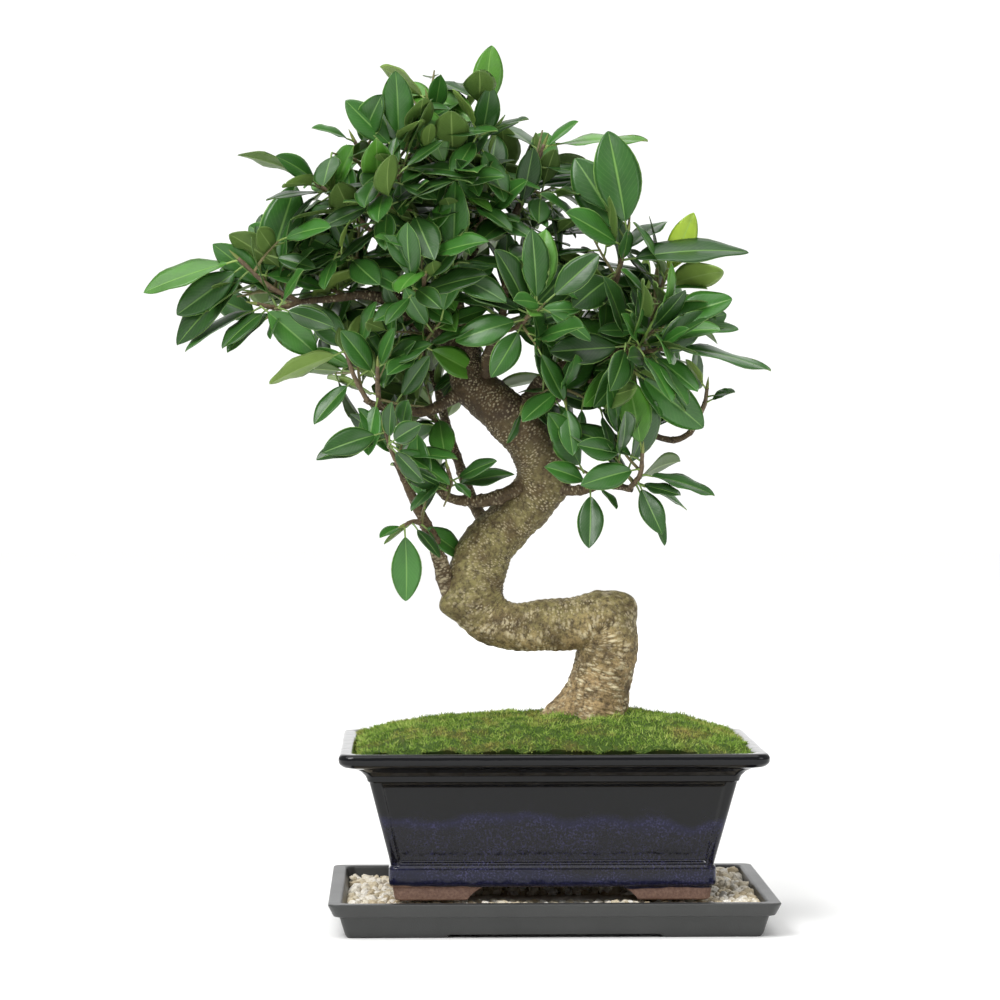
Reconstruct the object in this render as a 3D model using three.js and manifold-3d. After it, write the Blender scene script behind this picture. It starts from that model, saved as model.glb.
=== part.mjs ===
// A potted ficus bonsai on a humidity tray. Millimetres, +Z up, +X to the tree's right,
// the front of the tree faces -Y. The origin is the middle of the tray's underside.
import * as THREE from "three";
import { mergeVertices } from "three/addons/utils/BufferGeometryUtils.js";
import Module from "manifold-3d";

const wasm = await Module();
wasm.setup();

// Driving dimensions.
const gap = 0.3; // room between two pieces that touch
const tray = { halfWidth: 130.5, halfDepth: 93.5, height: 20.6, floor: 4, step: 12.6, corner: 6 };
const bedTop = 17.7; // level of the pebbles that the pot stands on
const pot = { halfWidth: 124.5, halfDepth: 89, footBase: 18, base: 26, floor: 32, rim: 106, corner: 5 };
const panel = { low: 38.5, high: 88, halfWidthLow: 89.5, halfWidthHigh: 101, sunk: 2.2 };
const arch = { frontLow: 50, frontHigh: 36, sideLow: 27, sideHigh: 17 }; // half widths between feet
const drain = { offset: 45, radius: 9, meshSide: 34, meshThickness: 1.2, openingPitch: 7, opening: 5 };
const wireRadius = 0.8;
const mossDepth = 5;
const leaf = { petiole: 7, widthShare: 0.44, thickness: 1, fold: 0.12, curl: 0.16 };
const crownMiddle = -55; // the crown's own middle, left of the pot's

const barkColour = 0x8a7a4e;
const leafColours = [0x2c5d27, 0x336b2c, 0x28532a, 0x3a7a33];

const group = new THREE.Group();
const vector = (point) => new THREE.Vector3(...point);
const radians = THREE.MathUtils.degToRad;

// --- solids and meshes ---

function solidOf(geometry) {
  const bare = new THREE.BufferGeometry();
  bare.setAttribute("position", geometry.getAttribute("position").clone());
  bare.setIndex(geometry.index);
  const merged = mergeVertices(bare, 1e-4);
  const triangles = [];
  for (let i = 0; i < merged.index.count; i += 3) {
    const [a, b, c] = [0, 1, 2].map((k) => merged.index.getX(i + k));
    if (a !== b && b !== c && c !== a) triangles.push([a, b, c]);
  }
  const solidFrom = (list) =>
    new wasm.Manifold(
      new wasm.Mesh({
        numProp: 3,
        vertProperties: new Float32Array(merged.attributes.position.array),
        triVerts: new Uint32Array(list.flat()),
      }),
    );
  const solid = solidFrom(triangles);
  return solid.volume() < 0 ? solidFrom(triangles.map(([a, b, c]) => [a, c, b])) : solid;
}

function geometryOf(solid) {
  const mesh = solid.getMesh();
  const geometry = new THREE.BufferGeometry();
  const places = new Float32Array(mesh.numVert * 3);
  for (let i = 0; i < mesh.numVert; i++) {
    places.set(mesh.vertProperties.subarray(i * mesh.numProp, i * mesh.numProp + 3), i * 3);
  }
  geometry.setAttribute("position", new THREE.BufferAttribute(places, 3));
  geometry.setIndex(new THREE.BufferAttribute(new Uint32Array(mesh.triVerts), 1));
  geometry.computeVertexNormals();
  return geometry;
}

function joined(solids) {
  return solids.reduce((whole, next) => whole.add(next));
}

function addMesh(name, solid, colour, roughness, metalness = 0) {
  const material = new THREE.MeshStandardMaterial({ color: colour, roughness, metalness });
  const mesh = new THREE.Mesh(geometryOf(solid), material);
  mesh.name = name;
  group.add(mesh);
}

// Moves every vertex of a geometry to the place that a function gives for it.
function reshape(geometry, place) {
  const position = geometry.getAttribute("position");
  const point = new THREE.Vector3();
  for (let i = 0; i < position.count; i++) {
    point.copy(place(point.fromBufferAttribute(position, i)));
    position.setXYZ(i, point.x, point.y, point.z);
  }
  return geometry;
}

// A lathe profile of [half width, height] pulled out to a rectangle with rounded corners:
// each quarter of the turn becomes one corner.
function squaredLathe(profile, widthOverDepth, corner) {
  const stepsPerCorner = 3;
  const turned = new THREE.LatheGeometry(
    profile.map(([r, z]) => new THREE.Vector2(r, z)),
    4 * stepsPerCorner,
  );
  return reshape(turned, (point) => {
    const r = Math.hypot(point.x, point.z);
    if (r < 1e-6) return new THREE.Vector3(0, 0, point.y);
    const turn = Math.atan2(point.x, point.z) / (2 * Math.PI);
    const step = Math.round((turn + 1) * 4 * stepsPerCorner) % (4 * stepsPerCorner);
    const quarter = Math.floor(step / stepsPerCorner);
    const middle = (quarter + 0.5) * (Math.PI / 2);
    const angle = (quarter + (step % stepsPerCorner) / (stepsPerCorner - 1)) * (Math.PI / 2);
    return new THREE.Vector3(
      Math.sign(Math.cos(middle)) * (r - corner) + corner * Math.cos(angle),
      Math.sign(Math.sin(middle)) * (r - widthOverDepth - corner) + corner * Math.sin(angle),
      point.y,
    );
  });
}

function boxAt(size, centre) {
  return solidOf(new THREE.BoxGeometry(...size).translate(...centre));
}

function uprightCylinder(radius, height, centre, sides) {
  const cylinder = new THREE.CylinderGeometry(radius, radius, height, sides);
  return solidOf(cylinder.rotateX(Math.PI / 2).translate(...centre));
}

// A round limb along a smooth route. radii are read along the route, one or more of them.
function limb(route, radii, sides, steps, grow = 0, section = () => 1) {
  const curve = new THREE.CatmullRomCurve3(route.map(vector));
  const frames = [];
  const normal = new THREE.Vector3(0, 1, 0);
  for (let i = 0; i <= steps; i++) {
    const along = i / steps;
    const tangent = curve.getTangent(along);
    normal.addScaledVector(tangent, -normal.dot(tangent)).normalize();
    const place = along * (radii.length - 1);
    const before = Math.min(Math.floor(place), radii.length - 2);
    const radius = THREE.MathUtils.lerp(radii[before], radii[before + 1], place - before);
    const across = new THREE.Vector3().crossVectors(tangent, normal);
    frames.push({ centre: curve.getPoint(along), normal: normal.clone(), across, radius });
  }
  const tube = new THREE.CylinderGeometry(1, 1, 1, sides, steps);
  return solidOf(
    reshape(tube, (point) => {
      const along = 0.5 - point.y;
      const frame = frames[Math.round(along * steps)];
      const turn = Math.atan2(point.z, point.x);
      const reach = Math.hypot(point.x, point.z) * (frame.radius * section(turn, along) + grow);
      return frame.centre
        .clone()
        .addScaledVector(frame.normal, reach * Math.cos(turn))
        .addScaledVector(frame.across, reach * Math.sin(turn));
    }),
  );
}

// --- humidity tray and pebbles ---

function trayOutline() {
  const { halfWidth: w, height: h, floor, step } = tray;
  return [
    [0, 0], [w - 11, 0], [w - 9.8, 1.5], [w - 6.5, step], [w - 3.6, step + 0.2], [w - 3, step + 0.8],
    [w, h - 0.8], [w - 0.6, h], [w - 7, h], [w - 8, h - 1], [w - 12.5, floor], [0, floor],
  ];
}

function humidityTray() {
  const shell = solidOf(squaredLathe(trayOutline(), tray.halfWidth - tray.halfDepth, tray.corner));
  const notch = { width: 120, depth: 26, height: 1.8 }; // shallow lift slots under the long sides
  return [-1, 1].reduce(
    (solid, side) =>
      solid.subtract(boxAt([notch.width, notch.depth, notch.height], [0, side * tray.halfDepth, 0])),
    shell,
  );
}

function pebbleBed() {
  const low = tray.floor + gap;
  const w = tray.halfWidth;
  const profile = [
    [0, low], [w - 12.9, low], [w - 9.4, bedTop - 0.6], [w - 11, bedTop], [w - 35, bedTop - 0.4],
    [w - 55, bedTop], [0, bedTop],
  ];
  return solidOf(squaredLathe(profile, tray.halfWidth - tray.halfDepth, tray.corner));
}

// --- pot ---

const potStretch = pot.halfWidth - pot.halfDepth;

function potOutline() {
  const { halfWidth: w, base, floor, rim } = pot;
  return [
    [0, base], [w - 30.3, base], [w - 29.2, base + 1.5], [w - 29, rim - 69], [w - 30.2, rim - 66.5],
    [w - 30, rim - 66], [w - 17.7, rim - 18], [w - 16.5, rim - 17.5], [w - 16.5, rim - 14.5],
    [w - 15.5, rim - 13], [w - 12, rim - 9.5], [w - 7, rim - 8], [w - 6, rim - 7.4], [w - 0.3, rim - 1.6],
    [w, rim - 0.7], [w - 0.9, rim], [w - 7.5, rim], [w - 8.5, rim - 1], [w - 24.5, rim - 18],
    [w - 36.5, floor + 1], [w - 37.5, floor], [0, floor],
  ];
}

// What fills the pot keeps clear of its inner wall.
function potFilling() {
  const { halfWidth: w, floor, rim } = pot;
  return solidOf(
    squaredLathe(
      [
        [0, floor + gap], [w - 37.9, floor + gap], [w - 36.9, floor + 1.3], [w - 24.9, rim - 18],
        [w - 8.9, rim - 1], [w - 8.9, rim + 40], [0, rim + 40],
      ],
      potStretch,
      pot.corner,
    ),
  );
}

// The sunken panel of one side, square to the sloping wall. turn is the side's turn about +Z.
function panelCutter(wallLow, wallHigh, halfLow, halfHigh, turn) {
  const rise = panel.high - panel.low;
  const slope = Math.atan2(wallHigh - wallLow, rise);
  const slant = Math.hypot(wallHigh - wallLow, rise);
  const outline = new THREE.Shape([
    new THREE.Vector2(-halfLow, 0),
    new THREE.Vector2(halfLow, 0),
    new THREE.Vector2(halfHigh, slant),
    new THREE.Vector2(-halfHigh, slant),
  ]);
  const cutter = new THREE.ExtrudeGeometry(outline, { depth: 8, bevelEnabled: false });
  const outward = new THREE.Vector3(0, -Math.cos(slope), -Math.sin(slope));
  const upward = new THREE.Vector3(0, -Math.sin(slope), Math.cos(slope));
  const frame = new THREE.Matrix4().makeBasis(new THREE.Vector3(1, 0, 0), upward, outward);
  cutter.applyMatrix4(frame);
  cutter.translate(0, -wallLow, panel.low);
  cutter.translate(-panel.sunk * outward.x, -panel.sunk * outward.y, -panel.sunk * outward.z);
  return solidOf(cutter.rotateZ(turn));
}

// The open arch between two feet, right through under the pot.
function archCutter(halfLow, halfHigh, reach, turn) {
  const middle = (halfLow + halfHigh) / 2;
  const outline = new THREE.Shape();
  outline.moveTo(-halfLow, pot.footBase - 1);
  outline.lineTo(halfLow, pot.footBase - 1);
  outline.quadraticCurveTo(middle, pot.base - 2, halfHigh, pot.base);
  outline.lineTo(-halfHigh, pot.base);
  outline.quadraticCurveTo(-middle, pot.base - 2, -halfLow, pot.footBase - 1);
  const depth = 2 * reach;
  const cutter = new THREE.ExtrudeGeometry(outline, { depth, bevelEnabled: false, curveSegments: 4 });
  return solidOf(cutter.rotateX(Math.PI / 2).translate(0, reach, 0).rotateZ(turn));
}

function potSolid() {
  const w = pot.halfWidth;
  const body = solidOf(squaredLathe(potOutline(), potStretch, pot.corner));
  const skirt = solidOf(
    squaredLathe(
      [
        [w - 45, pot.footBase], [w - 32.5, pot.footBase], [w - 31, pot.base + 0.5],
        [w - 45, pot.base + 0.5], [w - 45, pot.footBase],
      ],
      potStretch,
      pot.corner,
    ),
  );
  const feet = skirt
    .subtract(archCutter(arch.frontLow, arch.frontHigh, pot.halfDepth, 0))
    .subtract(archCutter(arch.sideLow, arch.sideHigh, pot.halfWidth, Math.PI / 2));
  const wallLow = w - 30.4;
  const wallHigh = w - 17.7;
  const cutters = [0, 1, 2, 3].map((side) => {
    const narrow = (side % 2) * potStretch;
    const near = potStretch - narrow;
    return panelCutter(
      wallLow - near,
      wallHigh - near,
      panel.halfWidthLow - narrow,
      panel.halfWidthHigh - narrow,
      (side * Math.PI) / 2,
    );
  });
  const holes = [-1, 1].map((side) =>
    uprightCylinder(drain.radius, 12, [side * drain.offset, 0, pot.base + 3], 20),
  );
  return [...cutters, ...holes].reduce((solid, cutter) => solid.subtract(cutter), body.add(feet));
}

// --- drain meshes and their clips ---

function drainMesh(x) {
  const level = pot.floor + gap + drain.meshThickness / 2;
  const sheet = boxAt([drain.meshSide, drain.meshSide, drain.meshThickness], [x, 0, level]);
  const rows = [-1.5, -0.5, 0.5, 1.5].map((row) => row * drain.openingPitch);
  return rows
    .flatMap((dx) => rows.map((dy) => [dx, dy]))
    .reduce(
      (solid, [dx, dy]) =>
        solid.subtract(boxAt([drain.opening, drain.opening, 4], [x + dx, dy, level])),
      sheet,
    );
}

// A wire staple down through the mesh and the drain hole, its ends bent out under the pot.
function meshClip(x, grow = 0) {
  const leg = drain.openingPitch / 2;
  const over = pot.floor + gap + drain.meshThickness + gap + wireRadius;
  const under = pot.base - gap - wireRadius;
  const half = [
    [leg + 11, under], [leg + 4, under - 0.2], [leg + 0.6, under + 0.8], [leg, under + 4],
    [leg, over - 2.5], [leg - 0.8, over - 0.2],
  ];
  const mirrored = half.map(([dx, z]) => [-dx, z]).reverse();
  const route = [...half, ...mirrored].map(([dx, z]) => [x + dx, leg, z]);
  return limb(route, [wireRadius, wireRadius], 6, 18, grow);
}

// --- soil and moss ---

// Height of the moss over the pot, a mound that is fuller to the right of the trunk.
function mossTop(x, y) {
  const inside = Math.max(0, (1 - (x / 117) ** 2) * (1 - (y / 81.5) ** 2));
  const right = Math.exp(-(((x - 62) / 38) ** 2));
  return pot.rim - 2.5 + 18.5 * inside ** 0.55 + 4 * right * inside ** 0.6;
}

// A block as wide as the pot whose top lies at a depth below the top of the moss.
function mound(depth) {
  const block = new THREE.BoxGeometry(2 * (pot.halfWidth - 8), 2 * (pot.halfDepth - 8), 2, 10, 7, 1);
  const shaped = reshape(block, (point) => {
    const height = point.z > 0 ? mossTop(point.x, point.y) - depth : pot.floor - 3;
    return new THREE.Vector3(point.x, point.y, height);
  });
  return solidOf(shaped);
}

// --- wood ---

const trunkRoute = [
  [20, 0, 80], [23, 0, 100], [26, 0, 122], [30, -1, 137], [34, -2, 152], [36, -3, 168],
  [32, -4, 179], [16, -5, 177.5], [-3, -5, 176], [-21, -4, 175], [-36, -3, 180], [-44, -2, 192],
  [-43, 0, 208], [-37, 1, 222], [-24, 2, 236], [-11, 2, 249], [-4, 1, 262], [-5, 0, 275],
  [-12, -1, 287], [-23, -2, 299], [-36, -1, 310], [-46, 0, 320], [-50, 1, 332], [-49, 1, 344],
];
const trunkRadii = [
  18, 24, 22, 20, 18.8, 18.5, 17.5, 15.8, 14.5, 13.8, 15, 16.5, 17, 15.5, 14.5, 15, 15.5, 15.5, 15, 15,
  14.5, 12.5, 10, 7,
];
// Root ridges round the foot of the trunk: [bearing in degrees from above, length, radius].
const roots = [
  [180, 44, 9], [150, 36, 7], [215, 40, 8.5], [262, 36, 9], [310, 34, 8], [355, 34, 8.5], [40, 34, 8],
  [95, 36, 8.5],
];

function trunk(grow) {
  const stem = limb(trunkRoute, trunkRadii, 10, 36, grow, (turn, along) => {
    return 1 + 0.05 * Math.sin(2 * turn + 9 * along) + 0.03 * Math.sin(3 * turn - 14 * along);
  });
  const ridges = roots.map(([bearing, length, radius]) => {
    const out = (share, drop) => [
      26 + share * length * Math.cos(radians(bearing)),
      share * length * Math.sin(radians(bearing)),
      drop,
    ];
    const route = [out(0.15, 139), out(0.45, 127), out(0.75, 118), out(1.1, 104)];
    return limb(route, [0.8 * radius, radius, 0.8 * radius, 0.4 * radius], 6, 4, grow);
  });
  return joined([stem, ...ridges]);
}

// Each branch is one piece of wood with its forks: [route, radius at its start, at its end].
const branches = {
  branch_low_left: [
    [[[-48, -4, 190], [-58, -6, 194], [-62, -8, 203], [-65, -9, 214], [-71, -9, 230], [-78, -9, 245],
      [-84, -12, 258], [-91, -15, 273]], 6, 2],
  ],
  branch_stub: [
    [[[-11, -2, 262], [-23, -8, 255], [-35, -8, 251], [-48, -6, 250], [-60, -6, 252], [-70, -10, 261],
      [-78, -14, 267]], 5, 1.8],
  ],
  branch_back_left: [
    [[[-34, 4, 233], [-42, 14, 243], [-48, 22, 256], [-54, 28, 274], [-60, 32, 292], [-65, 36, 313],
      [-71, 40, 331], [-77, 44, 347]], 4, 1.6],
  ],
  branch_low_right: [[[[-3, -4, 259], [15, -12, 256], [32, -18, 260], [48, -28, 257]], 4, 1.8]],
  branch_left_thin: [
    [[[-48, -2, 317], [-61, -6, 309], [-74, -10, 303], [-89, -13, 304], [-101, -16, 306],
      [-110, -18, 310]], 4, 1.6],
  ],
  branch_left: [
    [[[-48, 0, 336], [-62, -4, 347], [-77, -8, 355], [-89, -8, 366], [-97, -6, 387], [-96, -3, 408],
      [-91, 0, 426]], 6.5, 2],
    [[[-89, -8, 366], [-107, -10, 372], [-127, -12, 370], [-148, -12, 368]], 3.4, 1.6],
  ],
  leader: [
    [[[-49, 1, 338], [-55, 1, 361], [-58, 2, 379], [-59, 4, 410], [-59, 6, 436], [-63, 6, 460]], 7, 1.8],
    [[[-58, 4, 404], [-44, 5, 408], [-26, 8, 414], [-16, 8, 427]], 3, 1.6],
  ],
  branch_front: [
    [[[-38, -4, 318], [-37, -14, 336], [-31, -24, 350], [-27, -24, 369], [-28, -18, 392]], 3.6, 1.5],
  ],
  branch_right: [
    [[[-17, -2, 300], [-3, -6, 320], [12, -9, 330], [30, -12, 336], [44, -16, 339]], 7, 2.2],
    [[[22, -11, 334], [30, -8, 349], [35, -6, 366]], 3, 1.6],
    [[[18, -9, 332], [34, 2, 311], [55, 4, 293], [74, 2, 286], [84, 0, 290], [90, -2, 301]], 2.8, 1.4],
  ],
  branch_back_right: [[[[-10, 4, 292], [0, 18, 308], [18, 36, 322], [34, 52, 334], [44, 62, 344]], 5, 1.8]],
  branch_back_high: [[[[-58, 4, 370], [-52, 22, 384], [-44, 38, 400], [-38, 50, 416]], 3.6, 1.6]],
};

// --- shoots ---

// Each shoot is a twig with its leaves. Leaves are [bearing in the front view, length, lean towards
// the front, roll from facing the front to facing up], all angles in degrees, from the twig's tip
// back. fill is the number of plain leaves behind them.
const shoots = {
  left_tip_high: {
    twig: [[-148, -12, 368], [-166, -20, 377], [-184, -30, 393]],
    leaves: [[193, 52, 0, 60], [216, 42, 5, 10], [220, 54, 0, 45]],
    fill: 1,
  },
  left_tip: {
    twig: [[-148, -12, 368], [-163, -14, 373], [-171, -15, 380]],
    leaves: [[71, 54, 0, 0], [140, 36, 25, 5], [139, 38, -5, 25], [40, 30, -50, 55]],
    fill: 2,
  },
  left_tip_low: {
    twig: [[-148, -12, 368], [-160, -24, 364], [-173, -34, 366]],
    leaves: [[321, 38, 0, 0], [201, 46, 0, 75], [211, 34, 35, 55], [214, 34, 20, 60], [234, 20, 45, 70]],
    fill: 0,
  },
  left_high: {
    twig: [[-96, -5, 400], [-120, -6, 424], [-140, -5, 440]],
    leaves: [[150, 41, 5, 110], [135, 32, 45, 50], [181, 36, 35, 75], [75, 36, 50, 60]],
    fill: 2,
  },
  left_peak: {
    twig: [[-92, -2, 420], [-107, -4, 446], [-116, -5, 464]],
    leaves: [[150, 26, 40, 70], [70, 36, 45, 30]],
    fill: 2,
  },
  peak_left: {
    twig: [[-91, 0, 424], [-90, -12, 442], [-90, -22, 462]],
    leaves: [[89, 36, 25, 0], [137, 36, 5, 15]],
    fill: 2,
  },
  peak_left_front: {
    twig: [[-95, -4, 410], [-101, -24, 422], [-102, -38, 432]],
    leaves: [[90, 40, 60, 0], [102, 34, -55, 40], [200, 30, 20, 50]],
    fill: 1,
  },
  leader_front: {
    twig: [[-59, 4, 410], [-60, -12, 428], [-61, -28, 444]],
    leaves: [[110, 36, 10, 0], [148, 36, -40, 40], [18, 32, 40, 60]],
    fill: 2,
  },
  crown_mid: {
    twig: [[-50, 4, 406], [-41, -10, 416], [-41, -20, 430]],
    leaves: [[151, 52, 0, 75], [118, 34, 55, 30], [337, 34, 40, 55], [47, 34, 40, 45]],
    fill: 2,
  },
  crown_top_back: {
    twig: [[-62, 6, 458], [-68, 6, 474], [-72, 5, 489]],
    leaves: [[130, 34, -30, 110], [125, 30, -45, 10], [75, 24, 45, 0]],
    fill: 1,
  },
  crown_top: {
    twig: [[-59, 5, 424], [-43, -4, 456], [-38, -12, 478]],
    leaves: [[88, 36, 10, 0], [147, 36, -20, 10], [154, 44, 0, 70], [36, 22, 40, 65], [76, 34, 40, 15]],
    fill: 2,
  },
  crown_right: {
    twig: [[-22, 8, 418], [-11, 2, 441], [-3, -5, 462]],
    leaves: [[11, 54, 5, 75], [51, 24, 25, 70], [8, 32, -40, 110], [0, 28, 25, 65], [65, 36, -40, 10],
      [22, 30, -30, 50]],
    fill: 2,
  },
  right_top: {
    twig: [[35, -6, 364], [41, -20, 388], [45, -34, 408]],
    leaves: [[99, 54, 5, 0], [119, 50, 0, 5], [148, 42, 40, 45], [50, 38, -35, 50], [13, 67, 0, 55],
      [68, 20, 45, 50]],
    fill: 2,
  },
  right_young: {
    twig: [[50, -14, 340], [62, -8, 362], [69, -3, 383]],
    leaves: [[65, 36, 15, 0], [20, 38, 35, 150], [340, 34, 35, 45]],
    fill: 2,
  },
  right_upper: {
    twig: [[40, -15, 338], [53, -22, 343], [63, -28, 356]],
    leaves: [[20, 40, 5, 35], [7, 44, 0, 55], [11, 38, 30, 60], [122, 48, -10, 60], [162, 48, 10, 40]],
    fill: 2,
  },
  right_long: {
    twig: [[43, -16, 338], [55, -30, 338], [69, -42, 341]],
    leaves: [[358, 54, 0, 70], [42, 28, 30, 75], [45, 20, 40, 55], [322, 34, 35, 40]],
    fill: 1,
  },
  centre_front: {
    twig: [[-31, -24, 350], [-19, -38, 353], [-11, -52, 363]],
    leaves: [[80, 40, 5, 0], [153, 34, 15, 55], [193, 36, 5, 15], [242, 32, 30, 0], [20, 34, 30, 50]],
    fill: 1,
  },
  right_mid: {
    twig: [[36, -14, 337], [44, -26, 332], [49, -38, 326]],
    leaves: [[323, 46, 0, 5], [338, 30, 30, 115], [172, 30, -45, 35], [255, 30, 35, 30]],
    fill: 1,
  },
  right_low: {
    twig: [[46, -27, 257], [52, -38, 266], [53, -45, 279]],
    leaves: [[99, 38, 5, 0], [148, 44, 0, 55], [190, 34, 30, 20], [356, 38, 0, 65], [294, 30, 25, 5],
      [302, 34, 5, 65], [350, 24, 35, 50], [343, 34, -25, 70]],
    fill: 2,
  },
  right_low_inner: {
    twig: [[31, -18, 260], [27, -30, 261], [22, -42, 259]],
    leaves: [[270, 32, 30, 0], [152, 26, 30, 35], [316, 18, 40, 65]],
    fill: 0,
  },
  centre_right: {
    twig: [[6, -8, 327], [7, -24, 318], [8, -38, 309]],
    leaves: [[278, 28, 30, 0], [286, 26, -40, 45], [167, 28, -40, 65], [215, 30, 35, 40]],
    fill: 1,
  },
  trunk_sprig: {
    twig: [[-14, -6, 308], [-15, -20, 309], [-17, -29, 306]],
    leaves: [[258, 20, 30, 65]],
    fill: 0,
  },
  left_inner: {
    twig: [[-80, -8, 357], [-76, -30, 370], [-74, -48, 384]],
    leaves: [[139, 28, 30, 10], [117, 22, 35, 45], [53, 32, 30, 40], [19, 36, 5, 5], [357, 36, 5, 65],
      [199, 28, 35, 50], [328, 22, 45, 25]],
    fill: 2,
  },
  left_inner_low: {
    twig: [[-70, -6, 351], [-75, -24, 343], [-77, -40, 336]],
    leaves: [[206, 24, 45, 45], [196, 22, 45, 55], [26, 28, 25, 55], [334, 36, -25, 20]],
    fill: 1,
  },
  left_mid_far: {
    twig: [[-108, -18, 309], [-116, -24, 324], [-121, -30, 340]],
    leaves: [[197, 42, 5, 125], [76, 26, -35, 135], [100, 28, -45, 150], [172, 32, -20, 120],
      [222, 30, 20, 40]],
    fill: 2,
  },
  left_mid: {
    twig: [[-101, -16, 306], [-102, -26, 317], [-102, -38, 330]],
    leaves: [[32, 30, 30, 60], [77, 26, 40, 50], [123, 32, 30, 35], [117, 28, -40, 150],
      [66, 28, -45, 50], [255, 30, 20, 30]],
    fill: 1,
  },
  left_low_end: {
    twig: [[-88, -14, 268], [-94, -24, 280], [-98, -32, 292]],
    leaves: [[193, 34, 30, 25], [191, 36, 15, 50], [333, 36, 15, 50], [329, 38, -20, 35],
      [8, 32, 20, 70], [120, 32, 20, 40]],
    fill: 2,
  },
  stub_shoot: {
    twig: [[-62, -7, 253], [-59, -18, 261], [-61, -30, 270]],
    leaves: [[101, 34, -35, 5], [216, 26, 25, 65], [325, 16, 50, 55], [34, 26, 30, 55], [19, 32, 10, 55]],
    fill: 1,
  },
  left_hanging: {
    twig: [[-73, -9, 234], [-80, -20, 238], [-87, -34, 236]],
    leaves: [[274, 38, 0, 0], [195, 18, 45, 65], [316, 22, 30, 55], [210, 20, 30, 115], [325, 34, -25, 40]],
    fill: 0,
  },
  left_inner_far: {
    twig: [[-97, -6, 386], [-109, -4, 392], [-120, -2, 396]],
    leaves: [[155, 38, 0, 5], [187, 30, 30, 45], [32, 36, 20, 40]],
    fill: 2,
  },
  leader_side: {
    twig: [[-57, 2, 374], [-65, -12, 384], [-68, -26, 393]],
    leaves: [[81, 30, -45, 25], [90, 22, 30, 110], [313, 22, 50, 50], [150, 32, 20, 30]],
    fill: 2,
  },
  crown_back_right: {
    twig: [[-26, 8, 414], [-12, 12, 410], [-2, 12, 408]],
    leaves: [[166, 34, -20, 55], [16, 36, -30, 55], [50, 34, -40, 45], [330, 34, 10, 40]],
    fill: 2,
  },
  centre_back: {
    twig: [[28, -9, 345], [18, -1, 356], [12, 2, 368]],
    leaves: [[107, 36, -20, 10], [160, 34, 10, 45], [60, 34, -20, 50]],
    fill: 2,
  },
  right_low_far: {
    twig: [[89, -1, 299], [93, -4, 308], [94, -8, 317]],
    leaves: [[122, 20, 25, 120], [20, 14, 40, 65], [38, 14, 35, 65]],
    fill: 1,
  },
  back_left_low: { twig: [[-75, 42, 341], [-84, 52, 354], [-92, 58, 366]], leaves: [], fill: 8 },
  back_left_mid: { twig: [[-60, 32, 292], [-66, 44, 297], [-76, 54, 304]], leaves: [], fill: 8 },
  back_left_tip: { twig: [[-120, -11, 371], [-132, 12, 378], [-142, 28, 388]], leaves: [], fill: 8 },
  back_right_end: { twig: [[42, 60, 342], [51, 66, 352], [58, 68, 364]], leaves: [], fill: 8 },
  back_top: { twig: [[-39, 49, 414], [-36, 57, 427], [-36, 60, 440]], leaves: [], fill: 8 },
};

// A leaf behind the listed ones: they turn round the twig by the golden angle and lean back.
function fillLeaf(step, shootIndex) {
  const bearing = 137.5 * step + 67 * shootIndex;
  return [bearing % 360, 36 + 4 * (step % 3), -18 - 17 * (step % 3), 55 + 22 * (step % 4)];
}

// The leaf's own directions: along it, up from its upper side, and across it.
function leafFrame([bearing, , lean, roll], x) {
  const flat = Math.cos(radians(lean));
  const along = new THREE.Vector3(
    flat * Math.cos(radians(bearing)),
    -Math.sin(radians(lean)),
    flat * Math.sin(radians(bearing)),
  );
  const facing = new THREE.Vector3(0, -1, 0);
  facing.addScaledVector(along, -facing.dot(along)).normalize();
  const upward = new THREE.Vector3().crossVectors(along, facing);
  if (upward.z + 0.5 * Math.sign(x - crownMiddle) * upward.x < 0) upward.negate();
  const face = facing.multiplyScalar(Math.cos(radians(roll)));
  face.addScaledVector(upward, Math.sin(radians(roll)));
  return { along, face, across: new THREE.Vector3().crossVectors(face, along) };
}

// A folded, drooping blade of four rings, from its foot on the twig to its tip.
function blade(foot, placing, grow) {
  const length = placing[1];
  const reach = leaf.petiole + length + grow;
  const width = Math.min(25, Math.max(9, leaf.widthShare * length));
  const { along, face, across } = leafFrame(placing, foot.x);
  const ringPlaces = [0, 0.38, 0.74, 1];
  const ringWidths = [0, 0.5, 0.42, 0];
  const ball = new THREE.SphereGeometry(1, 4, 3);
  return solidOf(
    reshape(ball, (point) => {
      const ring = Math.round((1 - point.y) * 1.5);
      const distance = ring === 0 ? -grow : reach * ringPlaces[ring];
      const turn = Math.atan2(point.z, point.x);
      const side = Math.round(Math.cos(turn));
      const thick = Math.round(Math.sin(turn)) * (leaf.thickness / 2 + grow);
      const inRing = ring === 1 || ring === 2 ? 1 : 0;
      const half = ringWidths[ring] * width + 2 * grow;
      const lift = Math.abs(side) * leaf.fold * 2 * half * inRing;
      const droop = leaf.curl * reach * ringPlaces[ring] ** 2;
      return foot
        .clone()
        .addScaledVector(along, distance)
        .addScaledVector(across, side * half * inRing)
        .addScaledVector(face, thick * inRing + lift - droop);
    }),
  );
}

function shoot({ twig, leaves, fill }, index, grow) {
  const curve = new THREE.CatmullRomCurve3(twig.map(vector));
  const length = curve.getLength();
  const fillers = Array.from({ length: fill }, (_, step) => fillLeaf(step, index));
  // the first leaf stands 1.5 mm back from the twig's end, the others 4.5 mm apart behind it
  const blades = [...leaves, ...fillers].map((placing, order) =>
    blade(curve.getPointAt(Math.max(0.25, 1 - (1.5 + 4.5 * order) / length)), placing, grow),
  );
  return joined([limb(twig, [1.6, 1.1], 5, 2, grow), ...blades]);
}

// --- assembly ---

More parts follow.
